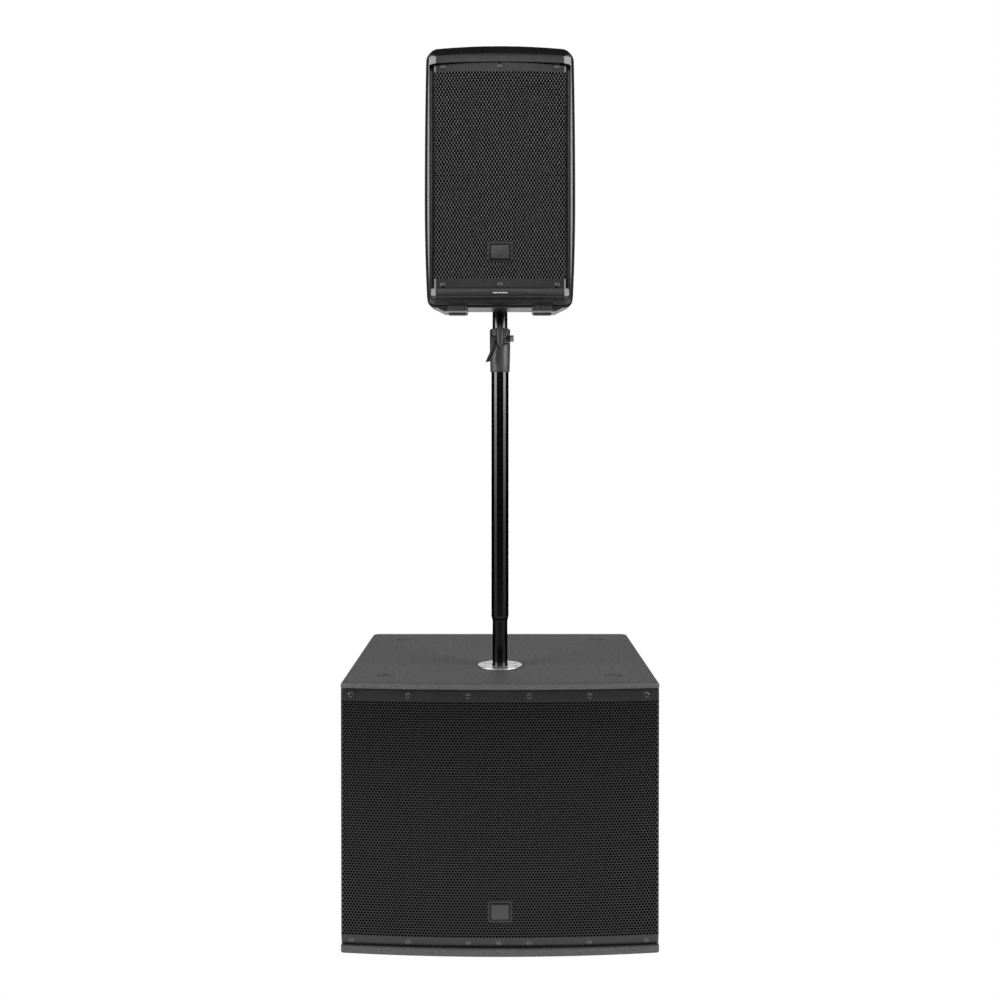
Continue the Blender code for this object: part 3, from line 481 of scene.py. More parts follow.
def washer(point, direction, inner, outer, height):
    """Dished ring under a screw head."""
    profile = [(inner, 0.0), (inner, height), (inner + (outer - inner) * 0.35, height),
               (outer * 0.97, height * 0.45), (outer, 0.0)]
    mesh = turned(profile, (0, 0, 0), "Z", 32)
    return seated(mesh, point, direction)


# ================================================================ perforated grilles

class BowedSheet:
    """A sheet bowed across its width, with its side edges bent straight back.

    Above and below the heights in level it leans back by tilt.
    """

    def __init__(self, half, front, bow, back, bend, level=(-1.0, 9.0), tilt=(0.0, 0.0)):
        self.level, self.tilt = level, tilt
        lean = math.atan(2 * bow / (half - bend))
        self.flat = half - bend * (1 - math.sin(lean))
        self.front, self.bow, self.bend, self.lean = front, bow, bend, lean
        edge_x, edge_y = self.flat, front + bow
        self.centre = (edge_x - bend * math.sin(lean), edge_y + bend * math.cos(lean))
        self.turn_length = bend * (math.pi / 2 - lean)
        self.length = self.flat + self.turn_length + (back - self.centre[1])

    def lean_back(self, z):
        return max(0.0, self.tilt[0] * (self.level[0] - z), self.tilt[1] * (z - self.level[1]))

    def at(self, u, depth):
        """Point (x, y) at arc length u from the middle, depth behind the front surface."""
        sign, a = (1, u) if u >= 0 else (-1, -u)
        if a <= self.flat:
            slope = 2 * self.bow * a / self.flat ** 2
            size = math.hypot(slope, 1.0)
            x, y, nx, ny = a, self.front + self.bow * (a / self.flat) ** 2, slope / size, -1.0 / size
        elif a <= self.flat + self.turn_length:
            angle = self.lean + (a - self.flat) / self.bend
            nx, ny = math.sin(angle), -math.cos(angle)
            x, y = self.centre[0] + self.bend * nx, self.centre[1] + self.bend * ny
        else:
            nx, ny = 1.0, 0.0
            x = self.centre[0] + self.bend
            y = self.centre[1] + a - self.flat - self.turn_length
        return sign * (x - nx * depth), y - ny * depth


HOLE_SIDES = 12
HOLE_PITCH, ROW_STEP = 0.00688, 0.00592
SHEET_THICKNESS = 0.0008
EDGE_ROW = 0.0006          # rows this close to the edges keep the shading flat up to them
MARGIN_STEPS = 12
ANCHORS = (7, 9, 11, 1, 3, 5)      # hole corners next to the six outer points of a cell


def perforated(sheet, across, rows, first_row, z_low, z_first, z_high, hole, crown):
    """Closed sheet with staggered round holes; a cell is one pitch wide and spans two half columns."""
    half_pitch = HOLE_PITCH / 2
    start = -across * half_pitch
    columns = [start + k * half_pitch for k in range(2 * across + 1)]
    edge = columns[-1]
    margin = [edge + (sheet.length - edge) * i / MARGIN_STEPS for i in range(1, MARGIN_STEPS + 1)]
    us = [-u for u in reversed(margin)] + columns + margin
    offset = len(margin)
    zs = [z_first + j * ROW_STEP for j in range(rows + 1)]
    has_low, has_high = z_low is not None, z_high is not None
    if has_low:
        zs = [z_low, z_low + EDGE_ROW] + zs
    if has_high:
        zs += [z_high - EDGE_ROW, z_high]
    first = 2 if has_low else 0
    points, faces = [], []

    def grid(side, k, j):
        return (side * len(us) + k) * len(zs) + j

    for depth in (0.0, SHEET_THICKNESS):
        for u in us:
            x, y = sheet.at(u, depth)
            points += [(x, y + sheet.lean_back(z), z) for z in zs]
            if has_high:
                for i in (-2, -1):
                    z = points[i][2] - crown * min(1.0, (u / sheet.flat) ** 2)
                    points[i] = (x, points[i][1], z)

    def cell(k, j):
        """One hole: outer points k..k+2 on rows j and j+1."""
        outer = [(k, j), (k + 1, j), (k + 2, j), (k + 2, j + 1), (k + 1, j + 1), (k, j + 1)]
        u, z = us[k + 1], (zs[j] + zs[j + 1]) / 2
        rings = []
        for depth in (0.0, SHEET_THICKNESS):
            base = len(points)
            for i in range(HOLE_SIDES):
                angle = 2 * math.pi * i / HOLE_SIDES
                x, y = sheet.at(u + hole * math.cos(angle), depth)
                points.append((x, y, z + hole * math.sin(angle)))
            rings.append(base)
        for i in range(6):
            a, b = outer[i], outer[(i + 1) % 6]
            h0, h1 = ANCHORS[i], ANCHORS[(i + 1) % 6]
            middle = (h0 + 1) % HOLE_SIDES
            faces.append((grid(0, *a), grid(0, *b), rings[0] + h1, rings[0] + middle, rings[0] + h0))
            faces.append((grid(1, *b), grid(1, *a), rings[1] + h0, rings[1] + middle, rings[1] + h1))
        for i in range(HOLE_SIDES):
            n = (i + 1) % HOLE_SIDES
            faces.append((rings[0] + i, rings[0] + n, rings[1] + n, rings[1] + i))

    def plain(k, j):
        faces.append((grid(0, k, j), grid(0, k + 1, j), grid(0, k + 1, j + 1), grid(0, k, j + 1)))
        faces.append((grid(1, k, j + 1), grid(1, k + 1, j + 1), grid(1, k + 1, j), grid(1, k, j)))

    for j in range(len(zs) - 1):
        punched = first <= j < first + rows
        shift = (first_row + j - first) % 2
        k = 0
        while k < len(us) - 1:
            inside = offset <= k < offset + 2 * across
            if punched and inside and (k - offset) % 2 == shift and k + 2 <= offset + 2 * across:
                cell(k, j)
                k += 2
            else:
                plain(k, j)
                k += 1
    last_u, last_z = len(us) - 1, len(zs) - 1
    for k in range(last_u):
        faces.append((grid(0, k + 1, 0), grid(0, k, 0), grid(1, k, 0), grid(1, k + 1, 0)))
        faces.append((grid(0, k, last_z), grid(0, k + 1, last_z), grid(1, k + 1, last_z), grid(1, k, last_z)))
    for j in range(last_z):
        faces.append((grid(0, 0, j), grid(0, 0, j + 1), grid(1, 0, j + 1), grid(1, 0, j)))
        faces.append((grid(0, last_u, j + 1), grid(0, last_u, j), grid(1, last_u, j), grid(1, last_u, j + 1)))
    mesh = bpy.data.meshes.new("sheet")
    mesh.from_pydata(points, [], faces)
    mesh.update()
    return mesh, (last_u, last_z)


def grille(name, node_name, body, sheet, across, rows, parts, z_first, hole=0.00280, sharp=40.0,
           crown=0.0, gap=0.0):
    """The perforated sheet in stacked parts, so that no mesh grows too large; its side faces stay flat."""
    low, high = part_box(node_name)
    each = math.ceil(rows / parts)
    for part in range(parts):
        begin = part * each
        count = min(each, rows - begin)
        mesh, sides = perforated(sheet, across, count, begin, low.z if part == 0 else None,
                                 z_first + begin * ROW_STEP, high.z - gap if part == parts - 1 else None,
                                 hole, crown)
        stands_for = (node_name,) if part == 0 else ()
        made = piece(f"{name}_{part + 1}", mesh, "powder_coat", body, stands_for, sharp=sharp)
        rim = 2 * (sides[0] + sides[1])
        for i in range(len(made.data.polygons) - rim, len(made.data.polygons)):
            made.data.polygons[i].use_smooth = False


def backing(name, body, sheet, depth, u_half, z_low, z_high):
    """Foam sheet behind a grille."""
    steps = 40
    front = [sheet.at(-u_half + 2 * u_half * i / steps, depth) for i in range(steps + 1)]
    rear = [sheet.at(u_half - 2 * u_half * i / steps, depth + 0.003) for i in range(steps + 1)]
    piece(name, prism(front + rear, z_low, z_high, "Z"), "foam", body)


# ================================================================ subwoofer

SOCKET_BORE = 0.0222       # radius of the holes that the pole cup and the cabinet's socket sit in


def sub_plan(inset, z):
    """Plan of the box with its bowed front, pulled in by inset."""
    half, front, back = cad_high.x - inset, cad_low.y + inset, cad_high.y - inset
    corner, nose, bow = 0.012, 0.006, 0.020
    span = half - nose
    points = [(span * (i / 24 - 1), front + bow * (i / 24 - 1) ** 2) for i in range(49)]
    start_y = front + bow
    points += [(half - nose * 0.62, start_y + nose * 0.10), (half - nose * 0.29, start_y + nose * 0.30),
               (half - nose * 0.08, start_y + nose * 0.62), (half, start_y + nose)]
    points += arc((half - corner, back - corner), (corner, corner), 0, 90, 8)
    points += arc((corner - half, back - corner), (corner, corner), 90, 180, 8)
    points += [(-half, start_y + nose), (nose * 0.08 - half, start_y + nose * 0.62),
               (nose * 0.29 - half, start_y + nose * 0.30), (nose * 0.62 - half, start_y + nose * 0.10)]
    return [(x, y, z) for x, y in points]


def rounded_lip(z_inner, z_outer, radius):
    """Levels of a board whose outer edge is rounded over: (inset, z)."""
    sign = 1 if z_outer > z_inner else -1
    levels = [(0.0012, z_inner), (0.0, z_inner + sign * 0.0015)]
    for i in range(8):
        angle = math.radians(90 * i / 7)
        levels.append((radius * (1 - math.cos(angle)), z_outer - sign * radius * (1 - math.sin(angle))))
    return levels


def sub_boards():
    low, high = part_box("sub_top_panel")
    top = loft([sub_plan(inset, z) for inset, z in rounded_lip(low.z, high.z, 0.0085)])
    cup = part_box("sub_pole_cup")
    centre = (0.0, (cup[0].y + cup[1].y) / 2, high.z)
    holes = [cylinder(centre, SOCKET_BORE, -0.05, 0.05, "Z", 48)]
    for end in ("front", "rear"):
        for side in ("left", "right"):
            foot_low, foot_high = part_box(f"sub_foot_{end}_{side}")
            spot = ((foot_low.x + foot_high.x) / 2, (foot_low.y + foot_high.y) / 2, high.z)
            profile = [(0.0, -0.0030), (0.0207, -0.0030), (0.0215, -0.0022), (0.0215, -0.0006),
                       (0.0222, 0.0001), (0.0222, 0.01), (0.0, 0.01)]
            holes.append(turned(profile, spot, "Z", 48))
    piece("sub_top_board", cut(top, *holes), "board_paint", "sub", ("sub_top_panel",))
    low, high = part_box("sub_bottom_panel")
    bottom = loft([sub_plan(inset, z) for inset, z in rounded_lip(high.z, low.z - 0.0020, 0.0032)])
    piece("sub_bottom_board", bottom, "board_paint", "sub", ("sub_bottom_panel",))
    for name in ("sub_left_panel", "sub_right_panel", "sub_rear_panel", "sub_baffle"):
        keep(name, "board_paint")


def sub_grille():
    low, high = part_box("sub_grille")
    z_first, z_last = 0.0444, 0.5594
    sheet = BowedSheet(high.x, low.y, 0.0185, high.y, 0.0050, (z_first, z_last), (0.27, 0.06))
    grille("sub_grille_sheet", "sub_grille", "sub", sheet, 101, 87, 4, z_first, gap=0.0020)
    backing("sub_grille_foam", "sub", sheet, 0.0030, 0.3465, z_first - 0.003, z_last + 0.003)
    heads = []
    for z, xs, tilt in ((0.5725, (-0.3265, -0.2010, -0.0690, 0.0635, 0.1950, 0.3210), 0.21),
                        (0.0306, (-0.3265, -0.2010, -0.0690, -0.0030, 0.0635, 0.1950, 0.3210), -0.21)):
        for x in xs:
            px, py = sheet.at(x, -0.0002)
            spot, facing = (px, py + sheet.lean_back(z), z), (0, -1, tilt)
            heads.append(washer(spot, facing, 0.0036, 0.0066, 0.0012))
            heads.append(screw(spot, facing, 0.0042, 0.0016))
    piece("sub_grille_screws", together(heads), "black_screw", "sub")


def badge(name, node_name, body):
    """Blank badge: a plain rim of the sheet, a dark groove and a satin plate."""
    low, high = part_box(node_name)
    x, _, z = middle(low, high)
    width, height = high.x - low.x, high.z - low.z
    rim = soft_block(width + 0.0085, height + 0.0085, 0.005, high.y, high.y - 0.0006, 0.0002)
    piece(name + "_rim", moved(rim, x, 0, z), "powder_coat", body)
    frame_mesh = soft_block(width + 0.0020, height + 0.0010, 0.003, high.y, low.y + 0.0012, 0.0008)
    hollow = prism(rounded_rectangle(width - 0.0030, height - 0.0030, 0.0022), low.y - 0.01, low.y + 0.0016,
                   "Y")
    piece(name + "_frame", moved(cut(frame_mesh, hollow), x, 0, z), "badge_frame", body,
          (node_name,))
    plate = soft_block(width - 0.0062, height - 0.0058, 0.0018, low.y + 0.0016, low.y, 0.0005)
    piece(name + "_plate", moved(plate, x, 0, z), "badge_face", body)


def pole_cup():
    low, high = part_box("sub_pole_cup")
    y = (low.y + high.y) / 2
    top, radius = high.z, (high.x - low.x) / 2
    profile = [(0.0, low.z), (0.0215, low.z), (0.0215, top - 0.0030)]
    profile += [(radius - 0.0010, top - 0.0030), (radius, top - 0.0022)]
    profile += arc((radius - 0.0014, top - 0.0014), (0.0014, 0.0014), 0, 90, 5)
    profile += [(0.0196, top), (0.0186, top - 0.0004), (0.0180, top - 0.0012), (0.0180, low.z + 0.004),
                (0.0, low.z + 0.004)]
    plate = turned(profile, (0.0, y, 0.0), "Z", 96)
    spots = [(sx * 0.0355, y + sy * 0.0170) for sx in (-1, 1) for sy in (-1, 1)]
    sinks = []
    for px, py in spots:
        sinks.append(turned([(0.0, -0.0020), (0.0022, -0.0020), (0.0052, 0.0008), (0.0, 0.0008)],
                            (px, py, top), "Z", 32))
    piece("sub_cup_plate", cut(plate, *sinks), "zinc_plate", "sub", ("sub_pole_cup",))
    heads = [screw((px, py, top - 0.0018), (0, 0, 1), 0.0040, 0.0014) for px, py in spots]
    piece("sub_cup_screws", together(heads), "black_screw", "sub")


def handle_cup(side_name, side):
    """Side handle: a moulded cup with room for fingers behind its upper lip."""
    low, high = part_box(f"sub_handle_{side_name}")
    z = (low.z + high.z) / 2
    face = max(abs(low.x), abs(high.x))
    depth = high.x - low.x
    body = prism(rounded_rectangle(0.1994, 0.1114, 0.0117), face - depth, face, "X")
    mouth = moved(prism(rounded_rectangle(0.170, 0.060, 0.012), face - depth + 0.003, face + 0.01, "X"),
                  0.0, 0.0, -0.018)
    behind = prism(rounded_rectangle(0.170, 0.100, 0.012), face - depth + 0.003, face - 0.016, "X")
    shape = moved(cut(body, fuse(mouth, behind)), 0.0, 0.0, z)
    heads = [screw((face, sy * 0.0925, z + sz * 0.047), (1, 0, 0), 0.0036, 0.0012)
             for sy in (-1, 1) for sz in (-1, 1)]
    heads = together(heads)
    if side < 0:
        for mesh in (shape, heads):
            mesh.transform(Matrix.Scale(-1, 4, (1, 0, 0)))
            mesh.flip_normals()
    piece(f"sub_handle_{side_name}_cup", shape, "cabinet_plastic", "sub",
          (f"sub_handle_{side_name}",), bevel=0.0016)
    piece(f"sub_handle_{side_name}_screws", heads, "black_screw", "sub")


def sub_feet():
    for end in ("front", "rear"):
        for side in ("left", "right"):
            name = f"sub_foot_{end}_{side}"
            low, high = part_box(name)
            centre = ((low.x + high.x) / 2, (low.y + high.y) / 2, 0.0)
            radius, top = (high.x - low.x) / 2, high.z
            profile = [(0.0, 0.0035), (0.0042, 0.0035), (0.0048, 0.0), (radius - 0.0030, 0.0)]
            profile += arc((radius - 0.0026, 0.0020), (0.0020, 0.0020), -90, 0, 4)
            profile += [(radius, top), (0.0, top)]
            piece(name + "_pad", turned(profile, centre, "Z", 48), "rubber", "sub", (name,))


# ================================================================ connection panels

def knob(name, node_name, body):
    """Fluted knob with a white pointer."""
    low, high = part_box(node_name)
    x, _, z = middle(low, high)
    radius = (high.x - low.x) / 2
    tip, back = high.y - 0.0006, low.y
    base = tip - 0.0097
    profile = [(0.0, back), (0.0030, back), (0.0030, base), (radius * 0.98, base), (radius, base + 0.0008),
               (radius * 0.98, base + 0.0020), (radius * 0.90, base + 0.0026), (radius * 0.84, tip - 0.0012),
               (radius * 0.80, tip - 0.0003), (radius * 0.74, tip), (0.0, tip)]
    mesh = turned(profile, (x, 0.0, z), "Y", 96, flutes=16, flute_depth=0.0007, fluted=(6, 7))
    piece(name, mesh, "control_plastic", body, (node_name,))
    line = moved(soft_block(0.0011, radius * 0.62, 0.0004, tip - 0.0005, tip + 0.0004, 0.0002),
                 x, 0.0, z + radius * 0.45)
    piece(name + "_pointer", line, "print_ink", body)


def push_button(name, node_name, body):
    low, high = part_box(node_name)
    radius = (high.x - low.x) / 2
    tip = high.y
    profile = [(0.0, low.y), (radius * 0.9, low.y), (radius, low.y + 0.0006), (radius, tip - 0.0009),
               (radius * 0.88, tip - 0.0002), (radius * 0.70, tip), (0.0, tip - 0.0006)]
    centre = ((low.x + high.x) / 2, 0.0, (low.z + high.z) / 2)
    piece(name, turned(profile, centre, "Y", 48), "control_plastic", body, (node_name,))


def audio_socket(name, node_name, body):
    """Combined three-pin and jack socket: flanged ring, insert with its contacts and a latch."""
    low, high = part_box(node_name)
    x, _, z = middle(low, high)
    front, back = high.y, low.y
    flange = (high.x - low.x) / 2
    shell = [(0.0, back), (0.0115, back), (0.0115, front - 0.0017), (flange, front - 0.0017),
             (flange, front - 0.0006), (flange - 0.0006, front), (0.0100, front), (0.0094, front - 0.0006),
             (0.0092, front - 0.0020), (0.0092, back + 0.003), (0.0, back + 0.003)]
    mesh = turned(shell, (x, 0.0, z), "Y", 48)
    piece(name, mesh, "control_plastic", body, (node_name,))
    insert = cylinder((x, 0.0, z), 0.0078, back + 0.0031, back + 0.0115, "Y", 48)
    bores = [cylinder((x, 0.0, z), 0.0033, back + 0.0060, front, "Y", 24)]
    for angle in (90, 210, 330):
        px, pz = 0.0056 * math.cos(math.radians(angle)), 0.0056 * math.sin(math.radians(angle))
        bores.append(cylinder((x + px, 0.0, z - pz), 0.0012, back + 0.0060, front, "Y", 16))
    piece(name + "_insert", cut(insert, *bores), "control_plastic", body)
    latch = moved(soft_block(0.0052, 0.0030, 0.0008, front - 0.0004, front + 0.0010, 0.0005),
                  x, 0.0, z + 0.0112)
    piece(name + "_latch", latch, "contact_metal", body)


def mains_socket(name, node_name, body):
    """Mains inlet with its three blades."""
    low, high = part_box(node_name)
    x, _, z = middle(low, high)
    front, back = high.y, low.y
    width, height = high.x - low.x, high.z - low.z
    flange = soft_block(width, height, 0.003, front - 0.0017, front, 0.0005)
    body_mesh = prism(rounded_rectangle(width - 0.006, height - 0.006, 0.003), back, front - 0.001, "Y")
    hollow = prism(rounded_rectangle(width - 0.010, height - 0.010, 0.004), back + 0.003, front + 0.01, "Y")
    mesh = moved(cut(fuse(body_mesh, flange), hollow), x, 0.0, z)
    piece(name, mesh, "control_plastic", body, (node_name,))
    blades = []
    for bx, bz in ((-0.0070, -0.0020), (0.0, 0.0025), (0.0070, -0.0020)):
        blades.append(moved(soft_block(0.0020, 0.0042, 0.0003, back + 0.0029, front - 0.0040, 0.0005),
                            x + bx, 0.0, z + bz))
    piece(name + "_blades", together(blades), "contact_metal", body)


def rocker(name, node_name, body):
    """Rocker with a dished face, tipped as in the CAD model, in its frame."""
    low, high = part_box(node_name)
    x, _, z = middle(low, high)
    face = high.y - 0.0046
    half = 0.0098
    outline = [(-0.0070, -half * 0.55), (-0.0070, half * 0.55), (0.0022, half), (0.0031, half * 0.97),
               (0.0036, half * 0.88)]
    outline += [(0.0018 + 0.0018 * (k / 6) ** 2, half * 0.88 * k / 6) for k in (5, 4, 3, 2, 1, 0)]
    outline += [(0.0018 + 0.0018 * (k / 6) ** 2, -half * 0.88 * k / 6) for k in (1, 2, 3, 4, 5, 6)]
    outline += [(0.0031, -half * 0.97), (0.0022, -half)]
    mesh = prism(outline, -0.0063, 0.0063, "X")
    mesh.transform(Matrix.Rotation(math.radians(7.0), 4, "X"))
    piece(name, moved(mesh, x, face, z), "control_plastic", body, (node_name,),
          bevel=0.0003)
    return x, z


def rocker_frame(name, body, x, z, face):
    """Fixed frame round a rocker, open in the middle so that the rocker can tip."""
    outer = soft_block(0.0196, 0.0290, 0.002, 0.0, 0.0016, 0.0005)
    inner = prism(rounded_rectangle(0.0146, 0.0230, 0.001), -0.01, 0.01, "Y")
    piece(name, moved(cut(outer, inner), x, face, z), "control_plastic", body)


def dial_marks(x, z, face, radius):
    """Tick marks of a control from its lowest to its highest setting."""
    marks = []
    for i in range(11):
        angle = math.radians(240 - 300 * i / 10)
        length = 0.0028 if i in (0, 5, 10) else 0.0016
        tick = block((0.0, 0.0, -0.00020), (length, 0.00012, 0.00020))
        tick.transform(Matrix.Rotation(-angle, 4, "Y"))
        tick.transform(Matrix.Translation((x + radius * math.cos(angle), face + 0.00005,
                                           z + radius * math.sin(angle))))
        marks.append(tick)
    return marks


def outline_marks(x, z, face, width, height):
    """Thin printed frame round a group of controls."""
    line = 0.00045
    outer = prism(rounded_rectangle(width, height, 0.003), 0.0, 0.00012, "Y")
    inner = prism(rounded_rectangle(width - 2 * line, height - 2 * line, 0.003 - line), -0.01, 0.01, "Y")
    return moved(cut(outer, inner), x, face + 0.00005, z)


def heat_sink(name, body, x_half, z_low, z_high, face, depth, fins):
    """Row of upright fins on the upper part of a panel."""
    meshes = [block((-x_half, face + 0.0001, z_low), (x_half, face + 0.0008, z_high))]
    for i in range(fins):
        x = -x_half + 0.002 + (2 * x_half - 0.004) * i / (fins - 1)
        fin = [(x - 0.0012, face + 0.0006), (x - 0.0007, face + depth), (x + 0.0007, face + depth),
               (x + 0.0012, face + 0.0006)]
        meshes.append(prism(fin, z_low + 0.001, z_high - 0.001, "Z"))
    piece(name, together(meshes), "anodised", body, sharp=25.0)


def rear_panel(prefix, plate_node, body, knobs, buttons, sockets, inlet_node, switch, sink):
    """Everything on a connection panel."""
    keep(plate_node, "anodised")
    low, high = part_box(plate_node)
    face = high.y
    marks = []
    for node_name, knob_body in knobs:
        knob(node_name + "_cap", node_name, knob_body)
        k_low, k_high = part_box(node_name)
        marks += dial_marks((k_low.x + k_high.x) / 2, (k_low.z + k_high.z) / 2, face, 0.0105)
    for node_name, button_body in buttons:
        push_button(node_name + "_cap", node_name, button_body)
    for node_name in sockets:
        audio_socket(node_name + "_shell", node_name, body)
        s_low, s_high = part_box(node_name)
        marks.append(outline_marks((s_low.x + s_high.x) / 2, (s_low.z + s_high.z) / 2, face, 0.034, 0.034))
    mains_socket(inlet_node + "_shell", inlet_node, body)
    switch_node, switch_body = switch
    x, z = rocker(switch_node + "_cap", switch_node, switch_body)
    rocker_frame(prefix + "_switch_frame", body, x, z, face)
    piece(prefix + "_panel_print", together(marks), "print_ink", body)
    screws = []
    edge = 0.0060
    for sx in (-1, 1):
        x = sx * ((high.x - low.x) / 2 - edge)
        for share in (0.03, 0.27, 0.5, 0.73, 0.97):
            screws.append(screw((x, face, low.z + (high.z - low.z) * share), (0, 1, 0), 0.0030, 0.0013))
    piece(prefix + "_panel_screws", together(screws), "black_screw", body)
    x_half, z_low, z_high, depth, fins = sink
    heat_sink(prefix + "_heat_sink", body, x_half, z_low, z_high, face, depth, fins)
    lamps = [turned([(0.0, 0.0009), (0.0008, 0.0006), (0.0012, 0.0), (0.0012, -0.0004), (0.0, -0.0004)],
                    (lx, face, z_low - 0.012), "Y", 20) for lx in (-0.012, 0.0, 0.012)]
    piece(prefix + "_status_lamps", together(lamps), "lamp_white", body)


def sub_rear():
    low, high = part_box("sub_amp_panel")
    rear_panel("sub", "sub_amp_panel", "sub", (("sub_gain_knob", "sub_gain"),),
               (("sub_polarity_button", "sub_polarity"),), ("sub_input_jack", "sub_thru_jack"),
               "sub_mains_inlet", ("sub_power_switch", "sub_switch"),
               (0.080, low.z + 0.205, high.z - 0.018, 0.0100, 23))
    keep("sub_amp_module", "board_module")


def drivers():
    for prefix in ("sub_woofer", "woofer"):
        keep(prefix + "_basket", "pressed_steel")
        keep(prefix + "_magnet", "ferrite")
        keep(prefix + "_surround", "rubber")
        keep(prefix + "_cone", "cone_paper")


def subwoofer():
    sub_boards()
    sub_grille()
    badge("sub_badge", "sub_badge", "sub")
    pole_cup()
    handle_cup("left", -1)
    handle_cup("right", 1)
    sub_feet()
    sub_rear()


# ================================================================ pole

def tubes():
    low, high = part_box("pole_lower_tube")
    axis = (0.0, (low.y + high.y) / 2, 0.0)
    step, spigot, tube, bore = 0.7135, 0.0175, (high.x - low.x) / 2, 0.0183
    profile = [(0.0145, low.z + 0.0015), (0.0160, low.z), (spigot - 0.0010, low.z), (spigot, low.z + 0.0015),
               (spigot, low.z + 0.0025), (spigot, step - 0.0070), (spigot, step - 0.0060),
               (spigot + 0.0006, step - 0.0045), (tube - 0.0006, step + 0.0020), (tube, step + 0.0040),
               (tube, step + 0.0050), (tube, high.z - 0.0010), (tube, high.z), (bore, high.z),
               (bore, step + 0.020), (0.0145, step + 0.014)]
    piece("pole_main_tube", turned(profile, axis, "Z", 96), "gloss_tube", "lower_pole",
          ("pole_lower_tube",))
    low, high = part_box("pole_upper_tube")
    radius = (high.x - low.x) / 2
    profile = [(radius, low.z + 0.001), (radius, low.z + 0.002), (radius, high.z - 0.004),
               (radius, high.z - 0.003), (radius - 0.0008, high.z - 0.0008),
               (radius - 0.0016, high.z), (0.0158, high.z), (0.0158, low.z), (radius - 0.0008, low.z)]
    piece("pole_inner_tube", turned(profile, axis, "Z", 96), "gloss_tube", "upper_pole",
          ("pole_upper_tube",))
    return axis


def collar(axis):
    """Tapered collar round the top of the main tube."""
    low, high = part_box("pole_collar")
    radius, bore = (high.x - low.x) / 2, 0.0206
    profile = [(bore, low.z), (radius - 0.0036, low.z), (radius - 0.0024, low.z + 0.0004),
               (radius - 0.0015, low.z + 0.0016), (radius - 0.0012, low.z + 0.0034),
               (radius - 0.0007, low.z + 0.025), (radius - 0.0001, high.z - 0.015), (radius, high.z - 0.0010),
               (radius - 0.0005, high.z), (bore, high.z)]
    piece("pole_collar_body", turned(profile, axis, "Z", 120), "clamp_plastic", "lower_pole",
          ("pole_collar",), sharp=40.0)


def shield(y_back, y_front, ring_high):
    """Pointed spine over the split of the clamp: it reaches above the ring and down over the collar."""
    half = ((0.0003, 0.0088), (0.0020, 0.0062), (0.0040, 0.0022), (0.0064, -0.0012), (0.0080, -0.0044),
            (0.0083, -0.0100), (0.0083, -0.0266), (0.0071, -0.0342), (0.0047, -0.0410), (0.0026, -0.0436),
            (0.0004, -0.0444))
    levels = ((y_back, 1.0), (y_front + 0.0062, 1.0), (y_front + 0.0040, 0.95), (y_front + 0.0020, 0.83),
              (y_front + 0.0007, 0.66), (y_front, 0.40))
    rings = []
    for y, k in levels:
        right = [(w * k, y, ring_high - 0.0160 + (z + 0.0160) * (0.6 + 0.4 * k)) for w, z in half]
        rings.append(right + [(-x, y, z) for x, y, z in reversed(right)])
    return loft(rings)


